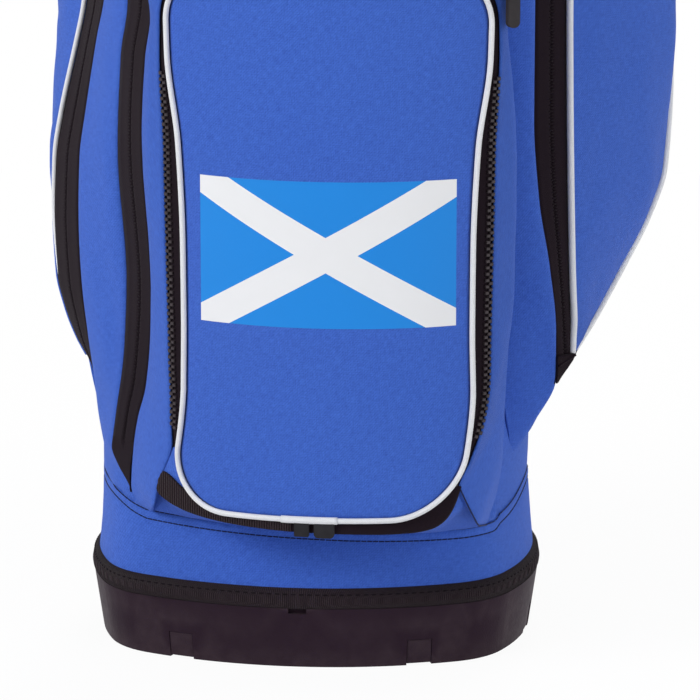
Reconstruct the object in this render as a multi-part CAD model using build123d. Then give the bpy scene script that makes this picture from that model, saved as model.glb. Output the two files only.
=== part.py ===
from build123d import *
import os
from math import asin, cos, degrees, radians, sin, sqrt

# Golf bag with a moulded base, soft pockets on three sides and a fourteen-way top.
# Millimetres. Origin on the underside of the base, +Z up, ball pocket towards -Y.

# Clearances shared by every fit.
RUN_GAP = 0.3
PIN_GAP = 0.1
PRESS_GAP = 0.05

# ROOT is how far a fused detail runs into what carries it, SPARE how far a cut runs past its work.
ROOT = 1.0
SPARE = 10.0
TOUCH = 0.05

# Plan of the bag at the lowest edge of the base: eight tangent arcs.
HALF_WIDTH = 120.0
HALF_DEPTH = 96.0
CORNER_RADIUS = 44.0
ARC_SWEEP = 24.0

# Moulded base.
LEDGE_Z = 34.4
CUP_FLARE = 5.0
CUP_WALL = 4.5
CUP_FLOOR = 4.0
FOOT_RECESS = 7.0
FOOT_THICKNESS = 5.0
UPSTAND_OFFSET = -5.0
UPSTAND_WALL = 2.5
UPSTAND_HEIGHT = 27.0
TAB_WIDTH = 13.4
TAB_TOP = 14.7
TAB_LIFT = 1.0
TAB_DEPTH = 3.6
TAB_GAP = 0.4
TAB_ANGLE = 18.0
GROOVE_OFFSET = -24.0
GROOVE_WIDTH = 3.0
GROOVE_DEPTH = 1.2
SLOT_WIDTH = 10.0
SLOT_HEIGHT = 3.0
SLOT_DEPTH = 3.0

# Fabric tube and the band that finishes its foot.
TRIM_HEIGHT = 10.2
TRIM_OFFSET = 7.0
TRIM_ROUND = 4.0
SKIRT_OFFSET = 1.5
SKIRT_TOP = 78.0
BODY_OFFSET = -1.0
BODY_WALL = 3.0
STAY_RADIUS = 4.0
STAY_X = 86.0
SOCKET_WALL = 3.0
SOCKET_DEPTH = 15.0
STAY_STANDOFF = 1.0

# Moulded top.
BAG_HEIGHT = 880.0
COLLAR_HEIGHT = 84.0
COLLAR_OFFSET = 7.0
COLLAR_LAP = 17.0
COLLAR_ROUND = 7.0
COLLAR_FOOT_ROUND = 3.5
SHELF_BELOW_TOP = 40.0
SHELF_THICKNESS = 5.0
SHELF_WIDTH = 5.0
ROW_PITCH = 44.0
COLUMN_PITCH = 52.0
BAR_WIDTH = 9.0
BAR_HEIGHT = 22.0
BAR_ROUND = 3.5
DIVIDER_THICKNESS = 1.2

# Ball pocket on the front.
FABRIC = 2.5
BALL_X = 20.0
BALL_FRONT_Y = -150.0
BALL_RADIUS = 162.0
BALL_HALF_WIDTH = 101.5
BALL_BACK_LEFT = (-112.0, -58.0)
BALL_BACK_RIGHT = (122.0, -70.0)
BALL_BOTTOM = 85.5
BALL_TOP = 434.0
BALL_CREST_ROUND = 5.0

# Zip-off panel on the ball pocket.
PANEL_BOTTOM = 102.0
PANEL_TOP = 392.0
PANEL_FOOT_HALF = 74.5
PANEL_WAIST_HALF = 73.5
PANEL_HEAD_HALF = 84.4
PANEL_FOOT_RADIUS = 36.0
PANEL_HEAD_RADIUS = 42.0
PANEL_WAIST_Z = 205.0
PIPING_WIDTH = 3.2
PIPING_PROUD = 1.8
TAPE_WIDTH = 4.3
CHAIN_GAP = 1.6
TAPE = 1.2
TAPE_SINK = 0.6
PANEL_NOTCH = (-17.0, 9.0)
STOP_BOX_AT = -12.0
STOP_BOX_HALF = 4.0
STOP_BOX_ROUND = 0.8

# Long zips.
ZIP_WIDTH = 26.0
RUN_ZIP_WIDTH = 20.0
LEG_FROM_CREST = 10.0
LEG_FOOT = 98.0
BALL_RUN_Z = 418.0
BALL_RUN_END_Y = -98.0
BALL_SLIDER_AT = 93.5

# Zip sliders and the tabs that pull them.
SLIDER_WIDTH = 9.0
SLIDER_LENGTH = 11.0
SLIDER_PLATE = 1.8
SLIDER_GAP = 0.45
SLIDER_WEB = 1.0
SLIDER_ROUND = 2.5
EAR_THICKNESS = 1.2
EAR_HALF = 3.0
PIN_RADIUS = 0.9
PIN_STANDOFF = 5.2
EYE_RADIUS = 2.3
EYE_WIDTH = 3.0
PULL_WIDTH = 7.0
PULL_THICKNESS = 3.0
PULL_LINK = 13.0
PULL_LINK_HALF = 0.8
PULL_ROUND = 2.9
PULL_LENGTH = 58.0

# Garment pockets on the two sides. Each level is a height and the plan points at it.
POCKET_FOOT = 104.0
POCKET_BELOW_TOP = 118.0
UPRIGHT_BELOW_TOP = 190.0
UPRIGHT_TOP = BAG_HEIGHT - UPRIGHT_BELOW_TOP
RIGHT_FRONT_Y = -62.0
RIGHT_REAR_Y = 72.0
RIGHT_LEVELS = (
    (258.0, (124.0, -57.0), (126.0, -55.0), (143.0, -39.5), (185.0, 6.0), (199.0, 52.0)),
    (UPRIGHT_TOP, (124.0, -57.0), (126.0, -55.0), (143.0, -39.5), (185.0, 6.0), (199.0, 52.0)),
)
LEFT_FRONT_Y = -56.0
LEFT_REAR_Y = 66.0
LEFT_LEVELS = (
    (212.0, (120.0, -50.0), (121.5, -48.0), (138.0, -26.0), (151.0, 10.0), (148.0, 46.0)),
    (395.0, (115.5, -53.0), (116.3, -51.0), (127.5, -28.0), (147.0, 10.0), (145.0, 46.0)),
    (UPRIGHT_TOP, (115.5, -53.0), (116.3, -51.0), (127.5, -28.0), (147.0, 10.0), (145.0, 46.0)),
)
GARMENT_SLIDER_DROP = 18.0
REAR_PIPING_RUN = 8.0
SEAM_SINK = 2.0

# Small pocket above the ball pocket.
UPPER_X = 12.0
UPPER_FRONT_Y = -126.0
UPPER_RADIUS = 150.0
UPPER_HALF_WIDTH = 72.0
UPPER_BACK_LEFT = (-68.0, -84.0)
UPPER_BACK_RIGHT = (90.0, -76.0)
UPPER_BOTTOM = 486.0
UPPER_TOP = 668.0
UPPER_ZIP_Z = 646.0
UPPER_ZIP_END = 62.0
UPPER_SLIDER_AT = 50.0
UPPER_FACE = (58.0, 500.0, 622.0, 24.0)

# Grips on the collar.
GRIP_HALF_SPAN = 54.0
GRIP_REACH = 40.0
GRIP_HEIGHT = 22.0
GRIP_THICKNESS = 12.0
GRIP_ROUND = 5.0
GRIP_BELOW_TOP = 38.0
BAIL_HALF = 43.0
BAIL_DROP = 54.0
BAIL_RADIUS = 5.5
BAIL_BEND = 16.0
BAIL_BELOW_TOP = 52.0
BAIL_STANDOFF = 11.0
BAIL_EYE_RADIUS = 8.0
BAIL_EYE_WIDTH = 12.0
BAIL_PIN_RADIUS = 3.0
LUG_WIDTH = 7.0
SLEEVE_RADIUS = 8.5
SLEEVE_HALF = 22.0
SLEEVE_ROUND = 2.0

# Towel ring on the left of the collar.
TOWEL_Y = -20.0
TOWEL_BELOW_TOP = 74.0
RING_WIRE = 1.9
RING_HALF = 13.0
RING_DROP = 15.6
TOWEL_TAB_WIDTH = 17.0
TOWEL_TAB_BELOW_TOP = 38.0
LOOP_WALL = 1.4
RIVET_RADIUS = 4.5
RIVET_HEIGHT = 2.0
RIVET_BELOW_TOP = 10.0

# Shoulder strap down the back.
STRAP_BELOW_TOP = 158.0
STRAP_FOOT_Z = 256.0
STRAP_BOW = 44.0
WEB_WIDTH = 38.0
WEB_THICKNESS = 2.4
STRAP_PAD_WIDTH = 62.0
STRAP_PAD_THICKNESS = 12.0
STRAP_PAD_ANGLES = (-7.0, 12.0)
STRAP_PAD_ROUND = 3.0
ADJUSTER_LENGTH = 16.0
ADJUSTER_MARGIN = 4.0
ADJUSTER_SIDE_GAP = 1.0
ADJUSTER_WALL = 2.0
STRAP_RING_HALF = 23.0
STRAP_RING_DROP = 20.0
STRAP_WIRE = 2.0
STRAP_RING_BEND = 3.2
ANCHOR_HEIGHT = 46.0
ANCHOR_STANDOFF = 6.2

# Radii and centres of the plan arcs follow from the plan's width, depth and corner.
SWEEP = radians(ARC_SWEEP)
LONG = 1 - cos(SWEEP)
ACROSS = HALF_WIDTH - CORNER_RADIUS * (cos(SWEEP) - sin(SWEEP))
ALONG = HALF_DEPTH - CORNER_RADIUS * (cos(SWEEP) - sin(SWEEP))
SIDE_RADIUS = (ALONG * sin(SWEEP) - ACROSS * LONG) / (sin(SWEEP) ** 2 - LONG**2)
FRONT_RADIUS = (ACROSS * sin(SWEEP) - ALONG * LONG) / (sin(SWEEP) ** 2 - LONG**2)
SIDE_CENTRE = HALF_WIDTH - SIDE_RADIUS
FRONT_CENTRE = HALF_DEPTH - FRONT_RADIUS
CORNER_X = (FRONT_RADIUS - CORNER_RADIUS) * sin(SWEEP)
CORNER_Y = (SIDE_RADIUS - CORNER_RADIUS) * sin(SWEEP)

FLOOR_TOP = FOOT_RECESS + CUP_FLOOR
UPSTAND_TOP = LEDGE_Z + UPSTAND_HEIGHT
TRIM_TOP = LEDGE_Z + TRIM_HEIGHT
COLLAR_FOOT = BAG_HEIGHT - COLLAR_HEIGHT
BODY_TOP = COLLAR_FOOT + COLLAR_LAP
SHELF_TOP = BAG_HEIGHT - SHELF_BELOW_TOP
POCKET_ENDS = (POCKET_FOOT, BAG_HEIGHT - POCKET_BELOW_TOP)
GARMENT_SLIDER_Z = UPRIGHT_TOP - GARMENT_SLIDER_DROP
GRIP_Z = BAG_HEIGHT - GRIP_BELOW_TOP
BAIL_Z = BAG_HEIGHT - BAIL_BELOW_TOP
TOWEL_Z = BAG_HEIGHT - TOWEL_BELOW_TOP
TOWEL_TAB_TOP = BAG_HEIGHT - TOWEL_TAB_BELOW_TOP
STRAP_TOP_Z = BAG_HEIGHT - STRAP_BELOW_TOP
LINER_OFFSET = BODY_OFFSET - BODY_WALL
BODY_SKIN = BODY_OFFSET + RUN_GAP
STAY_OFFSET = UPSTAND_OFFSET - UPSTAND_WALL - STAY_RADIUS - STAY_STANDOFF
BALL_CENTRE = (BALL_X, BALL_FRONT_Y + BALL_RADIUS)
UPPER_CENTRE = (UPPER_X, UPPER_FRONT_Y + UPPER_RADIUS)
TAPE_START = PIPING_WIDTH
CHAIN_START = TAPE_START + TAPE_WIDTH
BAG_TAPE_START = CHAIN_START + CHAIN_GAP
BAG_TAPE_END = BAG_TAPE_START + TAPE_WIDTH


def arc(centre, radius, start, end):
    """Circular arc between two angles in degrees."""
    points = []
    for angle in (start, (start + end) / 2, end):
        a = radians(angle)
        points.append((centre[0] + radius * cos(a), centre[1] + radius * sin(a)))
    return Edge.make_three_point_arc(*[Vector(*p) for p in points])


def oval(offset):
    """The plan, grown outwards by offset."""
    s = ARC_SWEEP
    side = SIDE_RADIUS + offset
    front = FRONT_RADIUS + offset
    corner = CORNER_RADIUS + offset
    edges = [
        arc((SIDE_CENTRE, 0), side, -s, s),
        arc((CORNER_X, CORNER_Y), corner, s, 90 - s),
        arc((0, FRONT_CENTRE), front, 90 - s, 90 + s),
        arc((-CORNER_X, CORNER_Y), corner, 90 + s, 180 - s),
        arc((-SIDE_CENTRE, 0), side, 180 - s, 180 + s),
        arc((-CORNER_X, -CORNER_Y), corner, 180 + s, 270 - s),
        arc((0, -FRONT_CENTRE), front, 270 - s, 270 + s),
        arc((CORNER_X, -CORNER_Y), corner, 270 + s, 360 - s),
    ]
    return make_face(edges)


def oval_x(y, offset):
    """Half width of the plan at a given depth."""
    y = abs(y)
    side = SIDE_RADIUS + offset
    corner = CORNER_RADIUS + offset
    if y <= side * sin(SWEEP):
        return SIDE_CENTRE + sqrt(side**2 - y**2)
    if y <= CORNER_Y + corner * cos(SWEEP):
        return CORNER_X + sqrt(corner**2 - (y - CORNER_Y) ** 2)
    return sqrt(max(0.0, (FRONT_RADIUS + offset) ** 2 - (y - FRONT_CENTRE) ** 2))


def oval_y(x, offset):
    """Half depth of the plan at a given distance from the middle."""
    x = abs(x)
    front = FRONT_RADIUS + offset
    corner = CORNER_RADIUS + offset
    if x <= front * sin(SWEEP):
        return FRONT_CENTRE + sqrt(front**2 - x**2)
    if x <= CORNER_X + corner * cos(SWEEP):
        return CORNER_Y + sqrt(corner**2 - (x - CORNER_X) ** 2)
    return sqrt(max(0.0, (SIDE_RADIUS + offset) ** 2 - (x - SIDE_CENTRE) ** 2))


def plug(offset, z0, z1):
    return extrude(Pos(0, 0, z0) * oval(offset), z1 - z0)


def tube(outer, inner, z0, z1):
    return extrude(Pos(0, 0, z0) * (oval(outer) - oval(inner)), z1 - z0)


def tapered(low, high, z0, z1):
    bottom = Pos(0, 0, z0) * oval(low).face()
    top = Pos(0, 0, z1) * oval(high).face()
    return loft([bottom, top], ruled=True)


def block(x0, x1, y0, y1, z0, z1):
    middle = Pos((x0 + x1) / 2, (y0 + y1) / 2, (z0 + z1) / 2)
    return middle * Box(x1 - x0, y1 - y0, z1 - z0)


def rod(start, end, radius):
    line = Vector(*end) - Vector(*start)
    return extrude(Plane(origin=start, z_dir=tuple(line)) * Circle(radius), line.length)


BOTTOM = (Align.CENTER, Align.CENTER, Align.MIN)


def solids_of(shape):
    return list(shape.solids())


def save(name, *shapes):
    pieces = []
    for shape in shapes:
        pieces += solids_of(shape)
    body = pieces[0] if len(pieces) == 1 else Compound(children=pieces)
    body.label = name
    export_step(body, "parts/" + name + ".step")


# Base: a flared cup with an upstand for the fabric, six windows for the foot's snap tabs
# and a socket for the lower end of each stay.
TAB_SEATS = [
    ((0, -FRONT_CENTRE), FRONT_RADIUS, -TAB_ANGLE),
    ((0, -FRONT_CENTRE), FRONT_RADIUS, TAB_ANGLE),
    ((SIDE_CENTRE, 0), SIDE_RADIUS, 90 - TAB_ANGLE / 3),
    ((0, FRONT_CENTRE), FRONT_RADIUS, 180 - TAB_ANGLE),
    ((0, FRONT_CENTRE), FRONT_RADIUS, 180 + TAB_ANGLE),
    ((-SIDE_CENTRE, 0), SIDE_RADIUS, 270 + TAB_ANGLE / 3),
]


def at_tabs(width, z0, z1):
    reach = 2 * (CUP_FLARE + CUP_WALL + TAB_DEPTH)
    shapes = []
    for centre, radius, angle in TAB_SEATS:
        piece = block(-width / 2, width / 2, -reach / 2, reach / 2, z0, z1)
        shapes.append(Pos(*centre, 0) * Rot(0, 0, angle) * Pos(0, -radius, 0) * piece)
    return Compound(children=[s for shape in shapes for s in shape.solids()])


stay_y = oval_y(STAY_X, STAY_OFFSET)
STAY_POINTS = [(sx * STAY_X, sy * stay_y) for sx in (-1, 1) for sy in (-1, 1)]


def base_cup():
    cup = tapered(0, CUP_FLARE, 0, LEDGE_Z) + plug(UPSTAND_OFFSET, LEDGE_Z, UPSTAND_TOP)
    cup -= plug(UPSTAND_OFFSET - UPSTAND_WALL, FLOOR_TOP, UPSTAND_TOP)
    cup -= plug(-CUP_WALL, 0, FOOT_RECESS)
    core = plug(-TAB_DEPTH - TAB_GAP, FOOT_RECESS, LEDGE_Z)
    for window in solids_of(at_tabs(TAB_WIDTH + 2 * RUN_GAP, 0, TAB_TOP + RUN_GAP)):
        cup -= window - core
    slot_depth = -HALF_DEPTH - CUP_FLARE
    cup -= block(-SLOT_WIDTH / 2, SLOT_WIDTH / 2, slot_depth - ROOT, slot_depth + SLOT_DEPTH,
                 LEDGE_Z - SLOT_HEIGHT, LEDGE_Z)
    for x, y in STAY_POINTS:
        socket = Pos(x, y, FLOOR_TOP - ROOT) * Cylinder(
            STAY_RADIUS + PIN_GAP + SOCKET_WALL, SOCKET_DEPTH + ROOT, align=BOTTOM)
        bore = Pos(x, y, FLOOR_TOP) * Cylinder(
            STAY_RADIUS + PIN_GAP, SOCKET_DEPTH, align=BOTTOM)
        cup = cup + socket - bore
    return cup


def base_foot():
    foot = plug(-CUP_WALL - RUN_GAP, 0, FOOT_THICKNESS)
    skin = tapered(-TAB_GAP, CUP_FLARE - TAB_GAP, 0, LEDGE_Z)
    core = plug(-TAB_DEPTH, FOOT_THICKNESS, LEDGE_Z)
    for tab in solids_of(at_tabs(TAB_WIDTH, TAB_LIFT, TAB_TOP)):
        foot += (tab & skin) - core
    foot -= tube(GROOVE_OFFSET, GROOVE_OFFSET - GROOVE_WIDTH, 0, GROOVE_DEPTH)
    return foot


def base_trim():
    band = tube(TRIM_OFFSET, SKIRT_OFFSET + RUN_GAP, LEDGE_Z, TRIM_TOP)
    rims = band.edges().filter_by(lambda e: e.bounding_box().size.Z < TOUCH)
    outer = [e for e in rims if on_oval(e, TRIM_OFFSET)]
    return fillet(outer, TRIM_ROUND)


def on_oval(edge, offset):
    point = edge @ 0.5
    return abs(abs(point.Y) - oval_y(point.X, offset)) < TOUCH or (
        abs(abs(point.X) - oval_x(point.Y, offset)) < TOUCH)


def skirt():
    outer = tapered(SKIRT_OFFSET, BODY_OFFSET, LEDGE_Z, SKIRT_TOP)
    inner = tapered(SKIRT_OFFSET - BODY_WALL, LINER_OFFSET, LEDGE_Z, SKIRT_TOP)
    return outer - inner


os.makedirs("parts", exist_ok=True)
save("base_cup", base_cup())
save("base_foot", base_foot())
save("base_trim_band", base_trim())
save("skirt_band", skirt())
save("body_shell", tube(BODY_OFFSET, LINER_OFFSET, SKIRT_TOP, BODY_TOP))
stay_top = SHELF_TOP - SHELF_THICKNESS
stays = [rod((x, y, FLOOR_TOP), (x, y, stay_top), STAY_RADIUS) for x, y in STAY_POINTS]
save("body_stays", *stays)

# Collar: laps over the fabric, carries the divider bars on a shelf, the stay sockets
# beneath that shelf and two lugs for the lifting bail.
BAIL_Y = HALF_DEPTH + COLLAR_OFFSET + BAIL_STANDOFF
LUG_X0 = BAIL_HALF + BAIL_EYE_WIDTH / 2 + RUN_GAP
LUG_X1 = LUG_X0 + LUG_WIDTH


def collar():
    ring = tube(COLLAR_OFFSET, LINER_OFFSET, COLLAR_FOOT, BAG_HEIGHT)
    top = [e for e in ring.edges() if abs(e.bounding_box().min.Z - BAG_HEIGHT) < TOUCH]
    ring = fillet([e for e in top if on_oval(e, COLLAR_OFFSET)], COLLAR_ROUND)
    foot = [e for e in ring.edges() if abs(e.bounding_box().max.Z - COLLAR_FOOT) < TOUCH]
    ring = fillet([e for e in foot if on_oval(e, COLLAR_OFFSET)], COLLAR_FOOT_ROUND)
    ring -= plug(BODY_SKIN, COLLAR_FOOT, BODY_TOP + RUN_GAP)
    ring += tube(LINER_OFFSET + ROOT, LINER_OFFSET - SHELF_WIDTH, SHELF_TOP - SHELF_THICKNESS, SHELF_TOP)
    for x, y in STAY_POINTS:
        boss = Pos(x, y, stay_top - SOCKET_DEPTH) * Cylinder(
            STAY_RADIUS + PIN_GAP + SOCKET_WALL, SOCKET_DEPTH + SHELF_THICKNESS, align=BOTTOM)
        boss &= plug(LINER_OFFSET + ROOT, stay_top - SOCKET_DEPTH, SHELF_TOP)
        boss -= tube(COLLAR_OFFSET, LINER_OFFSET - RUN_GAP, COLLAR_FOOT, BODY_TOP + RUN_GAP)
        bore = Pos(x, y, stay_top - SOCKET_DEPTH) * Cylinder(
            STAY_RADIUS + PIN_GAP, SOCKET_DEPTH, align=BOTTOM)
        ring = ring + boss - bore
    for side in (-1, 1):
        x0, x1 = sorted((side * LUG_X0, side * LUG_X1))
        lug = block(x0, x1, HALF_DEPTH, BAIL_Y, BAIL_Z - BAIL_EYE_RADIUS, BAIL_Z + BAIL_EYE_RADIUS)
        lug += rod((x0, BAIL_Y, BAIL_Z), (x1, BAIL_Y, BAIL_Z), BAIL_EYE_RADIUS)
        lug -= rod((x0, BAIL_Y, BAIL_Z), (x1, BAIL_Y, BAIL_Z), BAIL_PIN_RADIUS + PRESS_GAP)
        lug -= plug(COLLAR_OFFSET - ROOT, COLLAR_FOOT, BAG_HEIGHT)
        ring += lug
    return ring


def divider_lines():
    """Cross rows first, then the short lines between them: (x0, x1, y0, y1) centre lines."""
    rows = (-ROW_PITCH, 0.0, ROW_PITCH)
    lines = [("across", y) for y in rows]
    for x in (-COLUMN_PITCH / 2, COLUMN_PITCH / 2):
        lines.append(("along", x, -HALF_DEPTH, -ROW_PITCH))
        lines.append(("along", x, ROW_PITCH, HALF_DEPTH))
    for x in (-COLUMN_PITCH, 0.0, COLUMN_PITCH):
        lines.append(("along", x, -ROW_PITCH, 0.0))
        lines.append(("along", x, 0.0, ROW_PITCH))
    return lines


def dividers(thickness, z0, z1, offset, gap):
    """One upright piece on each divider line, ending at the walls given by offset."""
    half = thickness / 2
    pieces = []
    for line in divider_lines():
        if line[0] == "across":
            reach = oval_x(abs(line[1]) + half, offset)
            pieces.append(block(-reach, reach, line[1] - half, line[1] + half, z0, z1))
        else:
            x = line[1]
            wall = oval_y(abs(x) + half, offset)
            y0 = max(line[2] + half + gap, -wall)
            y1 = min(line[3] - half - gap, wall)
            pieces.append(block(x - half, x + half, y0, y1, z0, z1))
    return pieces


def bars():
    pieces = []
    for bar in dividers(BAR_WIDTH, SHELF_TOP, SHELF_TOP + BAR_HEIGHT, LINER_OFFSET - RUN_GAP, 0):
        long_axis = Axis.X if bar.bounding_box().size.X > BAR_WIDTH + ROOT else Axis.Y
        edges = bar.edges().filter_by(long_axis).group_by(Axis.Z)[-1]
        pieces.append(fillet(edges, BAR_ROUND))
    return pieces


save("top_collar", collar())
save("divider_bars", *bars())
save("divider_panels", *dividers(
    DIVIDER_THICKNESS, FLOOR_TOP + RUN_GAP, SHELF_TOP - RUN_GAP,
    LINER_OFFSET - SHELF_WIDTH - RUN_GAP, RUN_GAP))


# Pouches on the front. Their plan is a round-faced box that runs back into the body.
def pouch_plan(middle_x, front_y, radius, half_width, back_left, back_right, crest):
    drop = radius - sqrt(radius**2 - half_width**2)
    left = (middle_x - half_width, front_y + drop)
    right = (middle_x + half_width, front_y + drop)
    edges = [
        Edge.make_line(back_left, left),
        Edge.make_three_point_arc(left, (middle_x, front_y), right),
        Edge.make_line(right, back_right),
        Edge.make_line(back_right, back_left),
    ]
    plan = make_face(edges)
    corners = [v for v in plan.vertices() if abs(v.Y - left[1]) < TOUCH]
    return fillet(corners, crest), left, right


def upright(plan, z0, z1):
    return extrude(Pos(0, 0, z0) * plan, z1 - z0)


def shell_of(plan, outer, inner, z0, z1):
    skin = offset(plan, outer) if outer else plan
    return upright(skin - offset(plan, inner), z0, z1)


def forward(outline, near_y, far_y):
    """Push an outline drawn in X and Z through the pocket along Y."""
    return extrude(Plane(origin=(0, near_y, 0), x_dir=(1, 0, 0), z_dir=(0, -1, 0)) * outline,
                   near_y - far_y)


def panel_outline():
    """Front panel: straight head and foot, rounded corners, sides drawn in at the waist."""
    x = PANEL_FOOT_HALF
    foot = PANEL_FOOT_RADIUS
    head = PANEL_HEAD_RADIUS
    bend = sin(radians(45))
    edges = []
    for side in (1, -1):
        def at(px, pz):
            return (BALL_X + side * px, pz)
        low = at(x, PANEL_BOTTOM + foot)
        high = at(PANEL_HEAD_HALF, PANEL_TOP - head)
        edges.append(Edge.make_three_point_arc(
            at(x - foot, PANEL_BOTTOM),
            at(x - foot + foot * bend, PANEL_BOTTOM + foot - foot * bend), low))
        edges.append(Edge.make_three_point_arc(low, at(PANEL_WAIST_HALF, PANEL_WAIST_Z), high))
        edges.append(Edge.make_three_point_arc(
            high, at(PANEL_HEAD_HALF - head + head * bend, PANEL_TOP - head + head * bend),
            at(PANEL_HEAD_HALF - head, PANEL_TOP)))
    edges.append(Edge.make_line((BALL_X - x + foot, PANEL_BOTTOM), (BALL_X + x - foot, PANEL_BOTTOM)))
    edges.append(Edge.make_line((BALL_X - PANEL_HEAD_HALF + head, PANEL_TOP),
                                (BALL_X + PANEL_HEAD_HALF - head, PANEL_TOP)))
    return make_face(edges)


body_plug = plug(BODY_SKIN, BALL_BOTTOM - SPARE, BODY_TOP)
ball_plan, ball_left, ball_right = pouch_plan(
    BALL_X, BALL_FRONT_Y, BALL_RADIUS, BALL_HALF_WIDTH, BALL_BACK_LEFT, BALL_BACK_RIGHT,
    BALL_CREST_ROUND)
panel = panel_outline()
FAR = BALL_FRONT_Y - SPARE
NEAR = ball_left[1] + FABRIC + ROOT


def panel_ring(start, end):
    outer = offset(panel, end)
    return forward(outer - (offset(panel, start) if start else panel), NEAR, FAR)


ball_wall = shell_of(ball_plan, 0, -FABRIC, BALL_BOTTOM, BALL_TOP)
ball_tape = shell_of(ball_plan, -TAPE_SINK, -TAPE_SINK - TAPE, BALL_BOTTOM, BALL_TOP)
leg_line = Vector(BALL_BACK_LEFT[0] - ball_left[0], BALL_BACK_LEFT[1] - ball_left[1], 0).normalized()
leg_middle = Vector(ball_left[0], ball_left[1], 0) + leg_line * (LEG_FROM_CREST + ZIP_WIDTH / 2)
leg_end = Vector(ball_left[0], ball_left[1], 0) + leg_line * (LEG_FROM_CREST + ZIP_WIDTH)
RUN_LOW = BALL_RUN_Z - RUN_ZIP_WIDTH / 2
RUN_HIGH = BALL_RUN_Z + RUN_ZIP_WIDTH / 2


def leg_prism(width, z0, z1):
    frame = Plane(origin=(leg_middle.X, leg_middle.Y, z0), x_dir=tuple(leg_line), z_dir=(0, 0, 1))
    return extrude(frame * Rectangle(width, SPARE), z1 - z0)


def run_prism(z0, z1):
    left = block(-HALF_WIDTH - SPARE, BALL_X, FAR, leg_end.Y, z0, z1)
    return left + block(BALL_X, BALL_X + HALF_WIDTH, FAR, BALL_RUN_END_Y, z0, z1)


def ball_gusset():
    caps = upright(ball_plan, BALL_BOTTOM, BALL_BOTTOM + FABRIC)
    caps += upright(ball_plan, BALL_TOP - FABRIC, BALL_TOP)
    shell = ball_wall + caps - body_plug
    shell -= forward(offset(panel, BAG_TAPE_END), NEAR, FAR)
    shell -= leg_prism(ZIP_WIDTH, LEG_FOOT, RUN_LOW)
    return shell - run_prism(RUN_LOW, RUN_HIGH)


def ball_zip():
    leg = ball_tape & leg_prism(ZIP_WIDTH, LEG_FOOT, RUN_LOW)
    leg -= leg_prism(CHAIN_GAP, LEG_FOOT, RUN_LOW)
    run = ball_tape & run_prism(RUN_LOW, RUN_HIGH)
    run -= run_prism(BALL_RUN_Z - CHAIN_GAP / 2, BALL_RUN_Z + CHAIN_GAP / 2)
    return [leg, run]


save("ball_pocket_gusset", ball_gusset())
save("ball_zip", *ball_zip())
save("panel_zip_bag_tape", ball_tape & panel_ring(BAG_TAPE_START, BAG_TAPE_END))
save("front_panel", ball_wall & forward(panel, NEAR, FAR))
bead = shell_of(ball_plan, PIPING_PROUD, -FABRIC, BALL_BOTTOM, BALL_TOP)
save("front_panel_piping", bead & panel_ring(0, PIPING_WIDTH))
notch = block(BALL_X + PANEL_NOTCH[0], BALL_X + PANEL_NOTCH[1], FAR, NEAR,
              PANEL_BOTTOM - CHAIN_START - ROOT, PANEL_BOTTOM)
save("panel_zip_panel_tape", (ball_tape & panel_ring(TAPE_START, CHAIN_START)) - notch)


# Zip slider and pull, drawn at the origin on a tape that faces -Y and runs up along Z.
def slider(lying):
    def plate(y0):
        face = block(-SLIDER_WIDTH / 2, SLIDER_WIDTH / 2, y0, y0 + SLIDER_PLATE,
                     -SLIDER_LENGTH / 2, SLIDER_LENGTH / 2)
        return fillet(face.edges().filter_by(Axis.Y), SLIDER_ROUND)
    body = plate(-SLIDER_GAP - SLIDER_PLATE) + plate(TAPE + SLIDER_GAP)
    body += block(-SLIDER_WEB / 2, SLIDER_WEB / 2, -SLIDER_GAP - TOUCH, TAPE + SLIDER_GAP + TOUCH,
                  0, SLIDER_LENGTH / 2 - ROOT)
    if lying:
        body = Rot(0, -90, 0) * body
    return body


def slider_with_ears(lying):
    body = slider(lying)
    inner = EYE_WIDTH / 2 + 2 * PIN_GAP
    front = -PIN_STANDOFF
    for side in (-1, 1):
        x0, x1 = sorted((side * inner, side * (inner + EAR_THICKNESS)))
        body += block(x0, x1, front, -SLIDER_GAP - TOUCH, -EAR_HALF / 2, EAR_HALF / 2)
        body += rod((x0, front, 0), (x1, front, 0), EAR_HALF / 2)
    return body + rod((-inner - TOUCH, front, 0), (inner + TOUCH, front, 0), PIN_RADIUS)


def pull():
    front = -PIN_STANDOFF
    half = EYE_WIDTH / 2
    eye = rod((-half, front, 0), (half, front, 0), EYE_RADIUS)
    link = block(-half, half, front - PULL_LINK_HALF, front + PULL_LINK_HALF,
                 -PULL_LINK - ROOT, 0)
    tab = block(-PULL_WIDTH / 2, PULL_WIDTH / 2, front - PULL_THICKNESS / 2,
                front + PULL_THICKNESS / 2, -PULL_LENGTH, -PULL_LINK)
    tab = fillet(tab.edges().filter_by(Axis.Y), PULL_ROUND)
    hole = rod((-half, front, 0), (half, front, 0), PIN_RADIUS + PIN_GAP)
    return eye + link + tab - hole


def seat(point, outward, up):
    """Frame with Z up the zip and -Y out of the fabric."""
    inward = Vector(*outward) * -1
    return Plane(origin=point, x_dir=tuple(inward.cross(Vector(*up))), z_dir=up)


def on_round_face(centre, radius, middle_x, from_middle, z):
    """Seat on the tape of a round-faced pouch, from_middle to the right of its middle."""
    turn = asin(from_middle / radius)
    skin = radius - TAPE_SINK
    point = (centre[0] + skin * sin(turn), centre[1] - skin * cos(turn), z)
    return seat(point, (sin(turn), -cos(turn), 0), (0, 0, 1)), point


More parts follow.
